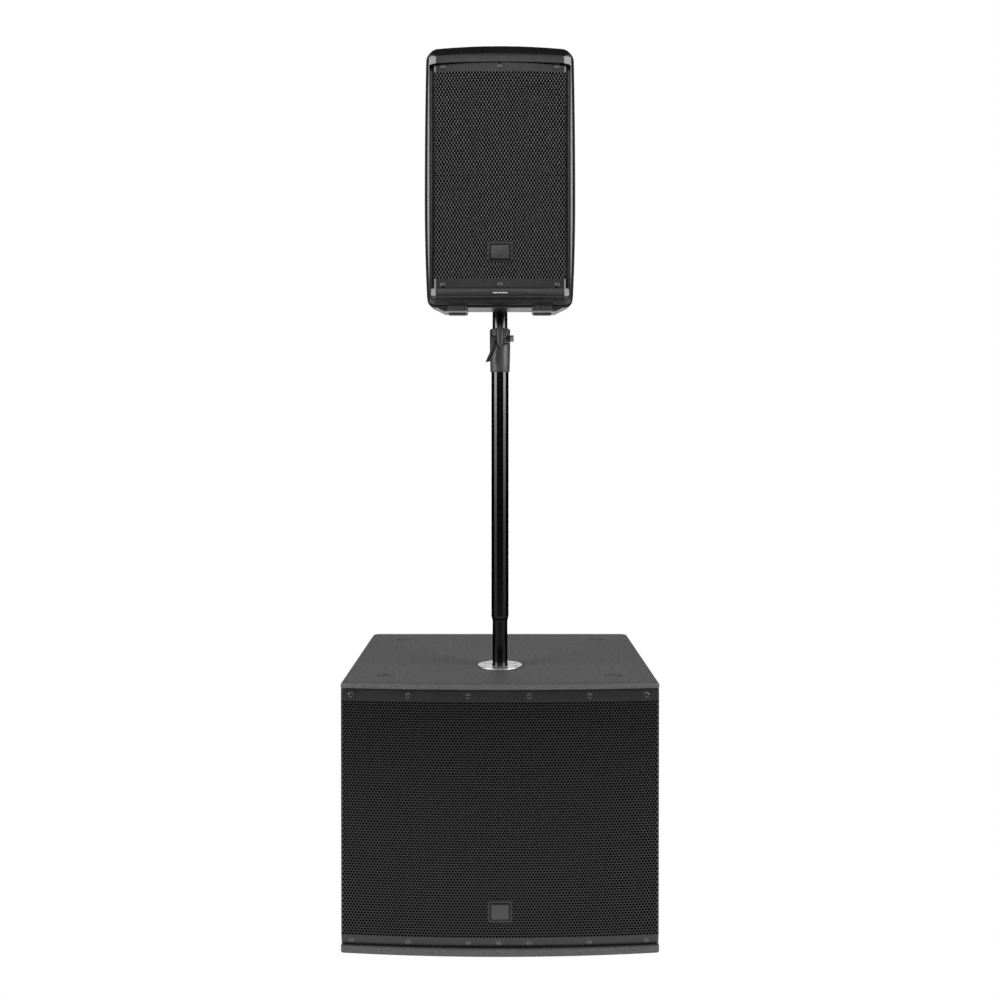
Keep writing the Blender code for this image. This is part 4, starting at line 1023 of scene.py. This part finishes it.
def clamp(axis):
    """Split ring and its ears, the spine over them, bolt and lever."""
    low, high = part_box("pole_clamp_ring")
    bolt_low, bolt_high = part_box("pole_clamp_bolt")
    bolt_y, bolt_z = (bolt_low.y + bolt_high.y) / 2, (bolt_low.z + bolt_high.z) / 2
    radius, bore = 0.0239, 0.0206
    ring = turned([(0.0, low.z), (radius - 0.0006, low.z), (radius, low.z + 0.0006),
                   (radius, high.z - 0.0022), (radius - 0.0006, high.z - 0.0008),
                   (radius - 0.0020, high.z), (0.0, high.z)], axis, "Z", 96)
    front = low.y
    left_ear = prism([(-0.0098, axis[1] - 0.016), (-0.0098, front + 0.0090), (0.0, front + 0.0080),
                      (0.0, axis[1] - 0.016)], low.z + 0.0010, high.z - 0.0008, "Z")
    right_ear = prism([(0.0, axis[1] - 0.016), (0.0, front + 0.0060), (0.0100, front + 0.0060),
                       (0.0195, front + 0.0100), (0.0195, axis[1] - 0.012)],
                      low.z + 0.0010, high.z - 0.0010, "Z")
    inside = cylinder(axis, bore, low.z - 0.01, high.z + 0.01, "Z", 96)
    slit = block((-0.0012, front - 0.01, low.z - 0.01), (0.0012, axis[1], high.z + 0.01))
    drill = cylinder((0.0, bolt_y, bolt_z), 0.0034, -0.05, 0.05, "X", 32)
    notch = block((-0.0300, front - 0.01, low.z - 0.005), (-0.0098, axis[1] - 0.0242, high.z + 0.01))
    shape = cut(fuse(ring, left_ear, right_ear), inside, slit, drill, notch)
    piece("pole_clamp_body", shape, "clamp_plastic", "lower_pole", ("pole_clamp_ring",),
          bevel=0.0007)
    piece("pole_clamp_spine", shield(axis[1] - 0.0195, front - 0.0010, high.z), "clamp_plastic",
          "lower_pole", bevel=0.0004)
    knurls = []
    for row in range(5):
        for column in range(4):
            bump = turned([(0.0, 0.0016), (0.0014, 0.0), (0.0014, -0.0010), (0.0, -0.0010)],
                          (0, 0, 0), "Z", 4)
            bump.transform(Matrix.Rotation(math.radians(90), 4, "X") @ Matrix.Rotation(0.4 * row, 4, "Z"))
            x = 0.0098 + 0.0026 * column
            y = front + 0.006 + (x - 0.0100) * 0.42
            knurls.append(moved(bump, x, y, high.z - 0.0060 - 0.0062 * row + 0.0012 * (column % 2)))
    for i in range(5):
        angle = math.radians(196 + 9 * i)
        rib = block((radius - 0.0006, -0.0007, low.z + 0.004), (radius + 0.0006, 0.0007, high.z - 0.003))
        rib.transform(Matrix.Rotation(angle, 4, "Z"))
        knurls.append(moved(rib, 0.0, axis[1], 0.0))
    piece("pole_clamp_ribs", together(knurls), "clamp_plastic", "lower_pole", sharp=20.0)
    keep("pole_guide_bush", "control_plastic")
    head = 0.0076
    start, stop = bolt_low.x, bolt_high.x
    seat = 0.0198
    bolt = [(0.0, start), (0.0026, start), (0.0030, start + 0.0005), (0.0030, seat), (head * 0.90, seat),
            (head * 0.90, seat + 0.0050), (0.0, seat + 0.0050)]
    piece("pole_clamp_screw", turned(bolt, (0.0, bolt_y, bolt_z), "X", 64), "lever_plastic", "lower_pole",
          ("pole_clamp_bolt",))
    cap = [(0.0, seat + 0.0052), (head * 0.95, seat + 0.0052), (head, seat + 0.0058), (head, stop - 0.0012),
           (head * 0.93, stop - 0.0003), (head * 0.84, stop), (head * 0.45, stop),
           (head * 0.40, stop - 0.0020), (0.0, stop - 0.0022)]
    piece("pole_clamp_screw_head", turned(cap, (0.0, bolt_y, bolt_z), "X", 64), "dull_steel", "lower_pole")
    lever(bolt_y, bolt_z)


def lever(bolt_y, bolt_z):
    """Hub on the bolt and an arm that runs down and outwards, ribbed near its end."""
    centre = (0.0, bolt_y, bolt_z)
    profile = [(0.0, -0.0190), (0.0066, -0.0190), (0.0078, -0.0182)]
    for i in range(5):
        x = -0.0176 + 0.0014 * i
        profile += [(0.0078, x), (0.0073, x + 0.0003), (0.0073, x + 0.0006), (0.0078, x + 0.0009)]
    profile += [(0.0078, -0.0106), (0.0074, -0.0102), (0.0, -0.0102)]
    hub = turned(profile, centre, "X", 64)
    path = [(-0.0135, 0.0015), (-0.0135, -0.0090), (-0.0122, -0.0170), (-0.0158, -0.0260), (-0.0200, -0.0360),
            (-0.0246, -0.0460), (-0.0281, -0.0535)]
    widths = (0.0070, 0.0085, 0.0102, 0.0112, 0.0122, 0.0124, 0.0108)
    depths = (0.0100, 0.0100, 0.0096, 0.0096, 0.0100, 0.0106, 0.0092)
    rings = []
    for (x, z), width, depth in zip(path, widths, depths):
        section = rounded_rectangle(width, depth, 0.0024, 4)
        rings.append([(x + u, bolt_y + v, bolt_z + z + u * 0.22) for u, v in section])
    arm = loft(rings)
    hole = cylinder(centre, 0.0034, -0.05, 0.05, "X", 32)
    piece("pole_lever_hub", cut(hub, hole), "clamp_plastic", "clamp_lever")
    piece("pole_lever_arm", cut(arm, hole), "lever_plastic", "clamp_lever", ("pole_clamp_lever",))
    ribs = []
    for i in range(8):
        share = i / 7
        x, z = -0.0168 - 0.0105 * share, -0.0285 - 0.0230 * share
        rib = soft_block(0.0134, 0.0120, 0.0026, -0.0006, 0.0006, 0.0003, "Z")
        rib.transform(Matrix.Rotation(math.radians(-24), 4, "Y"))
        ribs.append(moved(rib, x, bolt_y, bolt_z + z))
    piece("pole_lever_ribs", together(ribs), "lever_plastic", "clamp_lever")


def pole():
    axis = tubes()
    collar(axis)
    clamp(axis)


# ================================================================ loudspeaker

WIDEST_Z, SPEAKER_HALF, CROWN = 1.655, 0.1672, 0.006
SHELL_LOW, SHELL_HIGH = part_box("speaker_front_shell")
SPEAKER_TOP = SHELL_HIGH.z
SPEAKER_FRONT = SHELL_LOW.y
SHELL_JOINT = SPEAKER_FRONT + 0.0360
SPEAKER_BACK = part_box("speaker_rear_shell")[1].y
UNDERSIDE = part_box("speaker_rear_shell")[0].z
BEZEL_BOTTOM = 1.4316
RISE_START, RISE = SHELL_JOINT + 0.076, 0.124
POLE_Y = SPEAKER_FRONT + 0.157
WALL = 0.004
WOOFER_Z, HORN_Z = 1.600, 1.851


def half_width(z):
    """Half the width of the cabinet at a height, as in the CAD model."""
    bow = 0.034 if z > WIDEST_Z else 0.115
    return SPEAKER_HALF - bow * (z - WIDEST_Z) ** 2


def underside(y):
    """Height of the cabinet's underside at depth y."""
    return UNDERSIDE + RISE * max(0.0, y - RISE_START)


def cabinet_ring(y, side, top, bottom, round_top, round_bottom, taper=1.0):
    """Outline of the cabinet at depth y, pulled in by side, between heights bottom and top."""
    def edge(z):
        return (half_width(z) - side) * taper

    low, high = bottom + round_bottom, top - CROWN - round_top
    right = []
    for i in range(11):
        angle = math.radians(-90 + 9 * i)
        right.append((edge(low) - round_bottom + round_bottom * math.cos(angle),
                      low + round_bottom * math.sin(angle)))
    right += [(edge(z), z) for z in (low + (high - low) * i / 20 for i in range(1, 20))]
    for i in range(11):
        angle = math.radians(9 * i)
        right.append((edge(high) - round_top + round_top * math.cos(angle),
                      high + round_top * math.sin(angle)))
    last_x = right[-1][0]
    crown = [(last_x * k / 8, top - CROWN * (k / 8) ** 2) for k in range(7, 0, -1)]
    left = [(-x, z) for x, z in reversed(right + crown)]
    return [(x, y, z) for x, z in right + crown + [(0.0, top)] + left]


def smooth_stations(stations, each):
    """Catmull-Rom samples between stations, so that the loft has no kinks."""
    result = []
    last = len(stations) - 1
    for i in range(last):
        p0, p1 = stations[max(i - 1, 0)], stations[i]
        p2, p3 = stations[i + 1], stations[min(i + 2, last)]
        for k in range(each):
            t = k / each
            result.append(tuple(
                0.5 * (2 * b + (c - a) * t + (2 * a - 5 * b + 4 * c - d) * t ** 2
                       + (3 * b - a - 3 * c + d) * t ** 3)
                for a, b, c, d in zip(p0, p1, p2, p3)))
    return result + [stations[-1]]


def rear_shell():
    """Moulded rear shell with its handle well, panel recess and pole bore."""
    back, top = SPEAKER_BACK, SPEAKER_TOP
    lip = [(SHELL_JOINT, 0.0012, top - 0.0012, UNDERSIDE + 0.0012, 0.022, 0.018, 1.0),
           (SHELL_JOINT + 0.0006, 0.0004, top - 0.0004, UNDERSIDE + 0.0004, 0.022, 0.018, 1.0)]
    main = [(SHELL_JOINT + 0.0016, 0.0, top, UNDERSIDE, 0.022, 0.018, 1.00),
            (SHELL_JOINT + 0.040, 0.0, top, UNDERSIDE, 0.024, 0.022, 1.00),
            (RISE_START, 0.0, top - 0.004, UNDERSIDE, 0.026, 0.028, 0.98),
            (POLE_Y + 0.055, 0.0, top - 0.022, underside(POLE_Y + 0.055), 0.028, 0.034, 0.84),
            (back - 0.020, 0.0, top - 0.042, underside(back - 0.020), 0.028, 0.034, 0.70)]
    tail = [(back - 0.0110, 0.0, top - 0.0465, UNDERSIDE + 0.0250, 0.027, 0.032, 0.675),
            (back - 0.0050, 0.0, top - 0.0520, UNDERSIDE + 0.0300, 0.026, 0.030, 0.660),
            (back - 0.0018, 0.0014, top - 0.0550, UNDERSIDE + 0.0330, 0.024, 0.028, 0.655),
            (back, 0.0040, top - 0.0590, UNDERSIDE + 0.0370, 0.022, 0.026, 0.650)]
    stations = lip + smooth_stations(main, 6) + tail
    outer = loft([cabinet_ring(*station) for station in stations])
    inner = [(SHELL_JOINT - 0.010, WALL, top - WALL, UNDERSIDE + WALL, 0.020, 0.016, 1.0)]
    for y, side, high, low, round_top, round_bottom, taper in smooth_stations(main, 3):
        inner.append((y, side + WALL, high - WALL, low + WALL, round_top - 0.002, round_bottom - 0.002,
                      taper))
    inner.append((back - WALL, WALL, top - 0.055, UNDERSIDE + 0.034, 0.022, 0.026, 0.66))
    shell = cut(outer, loft([cabinet_ring(*station) for station in inner]))
    grip_low, grip_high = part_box("speaker_handle")
    grip_y = (grip_low.y + grip_high.y) / 2
    well_top = top - 0.0120
    well_low = well_top - 0.052
    well = moved(prism(rounded_rectangle(0.150, 0.092, 0.016), well_low, well_top, "Z"), 0.0, grip_y)
    space = moved(prism(rounded_rectangle(0.142, 0.084, 0.012), well_low + WALL, top + 0.02, "Z"),
                  0.0, grip_y)
    panel_low, panel_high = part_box("speaker_amp_panel")
    half = (panel_high.x - panel_low.x) / 2 - 0.007
    middle, tall = (panel_low.z + panel_high.z) / 2, panel_high.z - panel_low.z - 0.014
    opening = moved(prism(rounded_rectangle(2 * half, tall, 0.008), -0.02, 0.02, "Y"), 0.0, back, middle)
    bore = cylinder((0.0, POLE_Y, UNDERSIDE), SOCKET_BORE, -0.010, 0.030, "Z", 48)
    shell = cut(fuse(shell, well), space, opening, bore)
    piece("speaker_rear_body", shell, "cabinet_plastic", "speaker", ("speaker_rear_shell",),
          bevel=0.0010, sharp=30.0)
    rigging()


def rigging():
    """Suspension points: a recessed button with a screw, two on each side and two on top."""
    cups, screws = [], []
    for side in (-1, 1):
        for z in (1.560, 1.840):
            y = SHELL_JOINT + 0.050
            x = side * (half_width(z) - 0.0006)
            cups.append(washer((x, y, z), (side, 0, 0), 0.0052, 0.0125, 0.0016))
            screws.append(screw((x - side * 0.0002, y, z), (side, 0, 0), 0.0052, 0.0016))
    for side in (-1, 1):
        point = (side * 0.105, SHELL_JOINT + 0.050, SPEAKER_TOP - 0.0062)
        cups.append(washer(point, (0, 0, 1), 0.0052, 0.0125, 0.0030))
        screws.append(screw(point, (0, 0, 1), 0.0052, 0.0026))
    piece("speaker_rigging_rings", together(cups), "cabinet_plastic", "speaker")
    piece("speaker_rigging_screws", together(screws), "black_screw", "speaker")


def grip():
    """Grip bar across the well on top, with rubber ribs."""
    low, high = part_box("speaker_handle")
    y, z = (low.y + high.y) / 2, (low.z + high.z) / 2
    half_y, half_z = (high.y - low.y) / 2, (high.z - low.z) / 2

    def section(scale):
        """Squarish oval across the bar."""
        points = []
        for i in range(32):
            angle = 2 * math.pi * i / 32
            c, s = math.cos(angle), math.sin(angle)
            points.append((y + scale * half_y * math.copysign(abs(c) ** 0.8, c),
                           z + scale * half_z * math.copysign(abs(s) ** 0.8, s)))
        return points

    rings = []
    for x, scale in ((low.x, 1.0), (low.x + 0.008, 0.97), (low.x + 0.026, 0.90), (0.0, 0.88),
                     (high.x - 0.026, 0.90), (high.x - 0.008, 0.97), (high.x, 1.0)):
        rings.append([(x, v, w) for v, w in section(scale)])
    piece("speaker_grip", loft(rings), "cabinet_plastic", "speaker", ("speaker_handle",))
    ribs = []
    for i in range(9):
        x = -0.036 + 0.009 * i
        ribs.append(prism(section(0.92), x - 0.0015, x + 0.0015, "X"))
    piece("speaker_grip_ribs", together(ribs), "rubber", "speaker")


def front_shell():
    """Bezel: crowned cap on top, slim cheeks, a proud lower cap and the baffle behind the grille."""
    face, top = SPEAKER_FRONT, SPEAKER_TOP
    g_low, g_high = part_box("speaker_grille")
    low_z, high_z = g_low.z - 0.0004, g_high.z + 0.0008
    bottom = BEZEL_BOTTOM
    stations = [(SHELL_JOINT - GAP, 0.0014, top - 0.0014, UNDERSIDE + 0.0012, 0.021, 0.018),
                (SHELL_JOINT - 0.0010, 0.0004, top - 0.0004, UNDERSIDE + 0.0004, 0.022, 0.018),
                (SHELL_JOINT - 0.0020, 0.0, top, UNDERSIDE, 0.022, 0.018),
                (SHELL_JOINT - 0.0042, 0.0, top, UNDERSIDE, 0.022, 0.018),
                (SHELL_JOINT - 0.0049, 0.0, top, UNDERSIDE + 0.0007, 0.022, 0.018),
                (SHELL_JOINT - 0.0052, 0.0, top, bottom, 0.022, 0.018)]
    # depth behind the face, side inset, top inset, bottom inset, corner radii
    for depth, side, drop, rise, round_top, round_bottom in (
            (0.0215, 0.0002, 0.0000, 0.0000, 0.026, 0.017), (0.0200, 0.0008, 0.0000, 0.0008, 0.026, 0.017),
            (0.0135, 0.0046, 0.0002, 0.0045, 0.024, 0.017), (0.0115, 0.0057, 0.0014, 0.0056, 0.022, 0.017),
            (0.0106, 0.0062, 0.0028, 0.0061, 0.020, 0.017), (0.0094, 0.0076, 0.0048, 0.0068, 0.017, 0.017),
            (0.0030, 0.0188, 0.0156, 0.0103, 0.005, 0.016), (0.0012, 0.0219, 0.0180, 0.0113, 0.004, 0.015),
            (0.0003, 0.0236, 0.0190, 0.0118, 0.003, 0.015), (0.0000, 0.0250, 0.0198, 0.0122, 0.003, 0.015)):
        stations.append((face + depth, side, top - drop, bottom + rise, round_top, round_bottom))
    shell = loft([cabinet_ring(*station) for station in stations])
    half = g_high.x + 0.0060
    crown = 0.0042
    corner = 0.0040
    right = [(half - 0.0010, low_z), (half, low_z + 0.0010), (half, high_z - crown - corner)]
    right += arc((half - corner, high_z - crown - corner), (corner, corner), 15, 75, 4)
    right += [(half * k / 8, high_z - crown * (k / 8) ** 2) for k in range(7, 0, -1)]
    outline = right + [(0.0, high_z)] + [(-x, z) for x, z in reversed(right)]
    recess = prism(outline, face - 0.02, face + 0.0265, "Y")
    setback = block((-0.1562, face - 0.02, bottom - 0.05), (0.1562, face + 0.0120, low_z + 0.0001))
    woofer = cylinder((0.0, face, WOOFER_Z), 0.1160, 0.010, 0.060, "Y", 64)
    horn = moved(prism(rounded_rectangle(0.236, 0.180, 0.020), 0.010, 0.060, "Y"), 0.0, face, HORN_Z)
    shell = cut(shell, setback, recess, woofer, horn)
    piece("speaker_bezel", shell, "cabinet_plastic", "speaker", ("speaker_front_shell",),
          bevel=0.0010, sharp=30.0)
    lower_cap(face, low_z)


def lower_cap(face, low_z):
    """Proud strip under the grille, with rounded lower corners and the power light."""
    light_low, light_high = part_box("power_light")
    half, top, low = 0.1535, low_z - 0.0006, 1.4330

    def outline(depth, pull, rise, r, edge):
        points = [(half - pull - r + r * math.cos(a), low + rise + r + r * math.sin(a))
                  for a in (math.radians(-90 + 10 * i) for i in range(10))]
        points += [(half - pull, top - 0.0012 - edge), (half - pull - 0.0010, top - edge)]
        return [(x, face + depth, z) for x, z in points + [(-x, z) for x, z in reversed(points)]]

    # depth behind the face, side inset, bottom inset, corner radius, top inset
    rings = [outline(*level) for level in (
        (0.0230, 0.0000, 0.0000, 0.0175, 0.0), (0.0205, 0.0000, 0.0002, 0.0175, 0.0),
        (0.0190, 0.0000, 0.0012, 0.0170, 0.0), (0.0090, 0.0000, 0.0076, 0.0120, 0.0),
        (0.0076, 0.0003, 0.0085, 0.0100, 0.0), (0.0066, 0.0014, 0.0091, 0.0080, 0.0),
        (0.0024, 0.0084, 0.0119, 0.0040, 0.0), (0.0010, 0.0106, 0.0129, 0.0030, 0.0001),
        (0.0004, 0.0118, 0.0136, 0.0025, 0.0004), (0.0002, 0.0128, 0.0144, 0.0020, 0.0008))]
    slot_mesh = moved(prism(rounded_rectangle(light_high.x - light_low.x + 0.0008, 0.0026, 0.0008),
                            -0.01, light_high.y - SPEAKER_FRONT + 0.0005, "Y"),
                      0.0, SPEAKER_FRONT, (light_low.z + light_high.z) / 2)
    piece("speaker_lower_cap", cut(loft(rings), slot_mesh), "cabinet_plastic", "speaker",
          bevel=0.0004)
    lamp = soft_block(light_high.x - light_low.x, 0.0020, 0.0009, light_high.y, light_low.y + 0.0004, 0.0004)
    piece("speaker_power_lamp", moved(lamp, 0.0, 0.0, (light_low.z + light_high.z) / 2), "lamp_white",
          "speaker", ("power_light",))


def speaker_grille():
    low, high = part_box("speaker_grille")
    sheet = BowedSheet(high.x, low.y, 0.0070, high.y, 0.0120)
    grille("speaker_grille_sheet", "speaker_grille", "speaker", sheet, 45, 77, 2, 1.4862, hole=0.00265,
           sharp=180.0, crown=0.0040)
    backing("speaker_grille_foam", "speaker", sheet, 0.0026, 0.1535, 1.4840, 1.9440)
    heads = []
    for z in (1.9536, 1.4726):
        for x in (-0.1255, 0.0, 0.1255):
            px, py = sheet.at(x, -0.0002)
            heads.append(washer((px, py, z), (0, -1, 0), 0.0038, 0.0070, 0.0014))
            heads.append(screw((px, py, z), (0, -1, 0), 0.0046, 0.0020))
    piece("speaker_grille_screws", together(heads), "black_screw", "speaker")


def speaker_feet():
    """Rubber pads under ribbed shoulders at the front, and one plain pad behind the pole."""
    for name, side in (("speaker_foot_left", -1), ("speaker_foot_right", 1), ("speaker_foot_rear", 0)):
        low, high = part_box(name)
        x, y = (low.x + high.x) / 2, (low.y + high.y) / 2
        width, depth = high.x - low.x, high.y - low.y
        levels = ((high.z, 0.9), (low.z + 0.0030, 0.82), (low.z + 0.0012, 0.80), (low.z - 0.0004, 0.79),
                  (low.z - 0.0010, 0.76))
        rings = [[(x + u, y + v, z) for u, v in rounded_rectangle(width * k, depth * k, 0.006 * k)]
                 for z, k in levels]
        piece(name + "_pad", loft(rings), "rubber", "speaker", (name,))
        if side:
            shoulder(name, side, x, low)


def shoulder(name, side, x, low):
    """Moulded base of a front foot: it laps the bezel, is ribbed in front and falls away outwards."""
    front, back = SHELL_JOINT - 0.0080, low.y + 0.044
    base = low.z + 0.0009
    inner, outer = x - side * 0.0235, x + side * 0.0205
    outline = [(inner, UNDERSIDE + 0.0010), (inner, base + 0.0010), (inner + side * 0.0010, base),
               (x + side * 0.0290, base), (x + side * 0.0500, UNDERSIDE + 0.0035)]
    piece(name + "_base", prism(outline, SHELL_JOINT + 0.0010, back, "Y"), "cabinet_plastic", "speaker",
          bevel=0.0006)
    ribs = [block((min(inner, outer), front + 0.0040, base + 0.0004),
                  (max(inner, outer), SHELL_JOINT + 0.0020, UNDERSIDE + 0.0060))]
    for i in range(8):
        rx = inner + (outer - inner) * (i + 0.5) / 8
        rib = prism([(-0.0017, front), (0.0017, front), (0.0017, SHELL_JOINT), (-0.0017, SHELL_JOINT)],
                    base, UNDERSIDE + 0.0066, "Z")
        ribs.append(moved(rib, rx))
    piece(name + "_ribs", together(ribs), "clamp_plastic", "speaker", bevel=0.0004)


def pole_socket():
    low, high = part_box("speaker_pole_socket")
    axis = (0.0, (low.y + high.y) / 2, 0.0)
    radius, seat = (high.x - low.x) / 2, UNDERSIDE + 0.0178
    profile = [(0.0, high.z), (0.0205, high.z), (0.0215, high.z - 0.001), (0.0215, seat + 0.0030),
               (radius, seat + 0.0030), (radius, seat), (0.0215, seat), (0.0215, low.z + 0.0006),
               (0.0209, low.z), (0.0186, low.z), (0.0179, low.z + 0.0010), (0.0179, high.z - 0.004),
               (0.0, high.z - 0.004)]
    piece("speaker_socket_cup", turned(profile, axis, "Z", 72), "pressed_steel", "speaker",
          ("speaker_pole_socket",))


def speaker_rear():
    low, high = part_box("speaker_amp_panel")
    rear_panel("speaker", "speaker_amp_panel", "speaker",
               (("gain_knob_1", "gain_1"), ("gain_knob_2", "gain_2")),
               (("eq_button", "eq"),), ("input_jack_1", "input_jack_2", "thru_jack"),
               "speaker_mains_inlet", ("speaker_power_switch", "speaker_switch"),
               (0.070, low.z + 0.175, high.z - 0.020, 0.0120, 21))
    keep("speaker_amp_module", "board_module")
    keep("horn_waveguide", "cabinet_plastic")
    keep("compression_driver", "ferrite")


def loudspeaker():
    rear_shell()
    front_shell()
    grip()
    speaker_grille()
    badge("speaker_badge", "speaker_badge", "speaker")
    speaker_feet()
    pole_socket()
    speaker_rear()


# ================================================================ studio

def camera():
    """In front of the subwoofer at chest height, almost level."""
    data = bpy.data.cameras.new("camera")
    data.sensor_width = 36.0
    data.lens = 39.479
    data.shift_y = -0.040
    made = put("camera", data)
    made.location = (0.0, -2.70, 1.1120)
    made.rotation_euler = (math.radians(90 - 0.617), 0.0, 0.0)
    bpy.context.scene.camera = made


def softbox(name, location, target, width, height, radiance):
    data = bpy.data.lights.new(name, "AREA")
    data.shape = "RECTANGLE"
    data.size, data.size_y = width, height
    data.energy = radiance * math.pi * width * height
    made = put(name, data)
    made.location = location
    made.rotation_euler = (Vector(target) - Vector(location)).to_track_quat("-Z", "Y").to_euler()
    made.visible_camera = False


def side_light(name, side):
    """Tall light bank at one side, stronger towards its top."""
    for part, low, high, radiance in (("low", 0.35, 0.90, 0.7), ("middle", 0.90, 1.35, 3.2),
                                      ("high", 1.35, 1.90, 13.0), ("upper", 1.90, 2.60, 8.0),
                                      ("top", 2.60, 3.30, 14.0)):
        z = (low + high) / 2
        softbox(f"{name}_{part}", (side * 2.6, -1.4, z), (0.0, 0.0, z), 2.0, high - low, radiance)


def world():
    """White to the eye; as light it is dim, but for a glow low down behind the object."""
    made = bpy.data.worlds.new("studio")
    bpy.context.scene.world = made
    made.use_nodes = True
    nodes, links = made.node_tree.nodes, made.node_tree.links
    light = nodes["Background"]
    light.inputs["Color"].default_value = (1.0, 1.0, 1.0, 1.0)
    seen = nodes.new("ShaderNodeBackground")
    seen.inputs["Color"].default_value = (1.0, 1.0, 1.0, 1.0)
    seen.inputs["Strength"].default_value = 1.0
    coordinates = nodes.new("ShaderNodeTexCoord")
    split = nodes.new("ShaderNodeSeparateXYZ")
    links.new(coordinates.outputs["Generated"], split.inputs["Vector"])

    def ramp(axis, start, stop):
        made_ramp = nodes.new("ShaderNodeMapRange")
        made_ramp.interpolation_type = "SMOOTHSTEP"
        made_ramp.inputs["From Min"].default_value = start
        made_ramp.inputs["From Max"].default_value = stop
        links.new(split.outputs[axis], made_ramp.inputs["Value"])
        return made_ramp.outputs["Result"]

    def times(one, two):
        product = nodes.new("ShaderNodeMath")
        product.operation = "MULTIPLY"
        links.new(one, product.inputs[0])
        links.new(two, product.inputs[1])
        return product.outputs["Value"]

    behind = times(ramp("Y", 0.0, 0.6), ramp("Z", 0.65, 0.25))
    middle = times(ramp("X", -0.34, -0.18), ramp("X", 0.34, 0.18))
    strength = nodes.new("ShaderNodeMapRange")
    strength.inputs["To Min"].default_value = 0.04
    strength.inputs["To Max"].default_value = 1.0
    links.new(times(behind, middle), strength.inputs["Value"])
    links.new(strength.outputs["Result"], light.inputs["Strength"])
    path = nodes.new("ShaderNodeLightPath")
    mix = nodes.new("ShaderNodeMixShader")
    links.new(path.outputs["Is Camera Ray"], mix.inputs["Fac"])
    links.new(light.outputs["Background"], mix.inputs[1])
    links.new(seen.outputs["Background"], mix.inputs[2])
    links.new(mix.outputs["Shader"], nodes["World Output"].inputs["Surface"])


def floor():
    """Pale floor that reads as white, so that it runs into the background."""
    mesh = bpy.data.meshes.new("floor")
    size = 3.0
    mesh.from_pydata([(-size, -size, 0), (size, -size, 0), (size, size, 0), (-size, size, 0)], [],
                     [(0, 1, 2, 3)])
    made = bpy.data.materials.new("floor")
    made.use_nodes = True
    nodes, links = made.node_tree.nodes, made.node_tree.links
    paint = nodes["Principled BSDF"]
    paint.inputs["Base Color"].default_value = (0.80, 0.80, 0.80, 1.0)
    paint.inputs["Roughness"].default_value = 0.9
    paint.inputs["Emission Color"].default_value = (1.0, 1.0, 1.0, 1.0)
    paint.inputs["Emission Strength"].default_value = 0.65
    seen = nodes.new("ShaderNodeEmission")
    path = nodes.new("ShaderNodeLightPath")
    mix = nodes.new("ShaderNodeMixShader")
    links.new(path.outputs["Is Camera Ray"], mix.inputs["Fac"])
    links.new(paint.outputs["BSDF"], mix.inputs[1])
    links.new(seen.outputs["Emission"], mix.inputs[2])
    links.new(mix.outputs["Shader"], nodes["Material Output"].inputs["Surface"])
    mesh.materials.append(made)
    plane = put("floor", mesh)
    plane.location.z = -0.0002


def studio():
    bpy.context.scene.view_settings.view_transform = "Standard"
    camera()
    world()
    floor()
    side_light("left", -1)
    side_light("right", 1)
    softbox("front", (0.0, -2.95, 2.70), (0.0, 0.0, 2.70), 1.9, 1.60, 2.2)


subwoofer()
drivers()
pole()
loudspeaker()
studio()
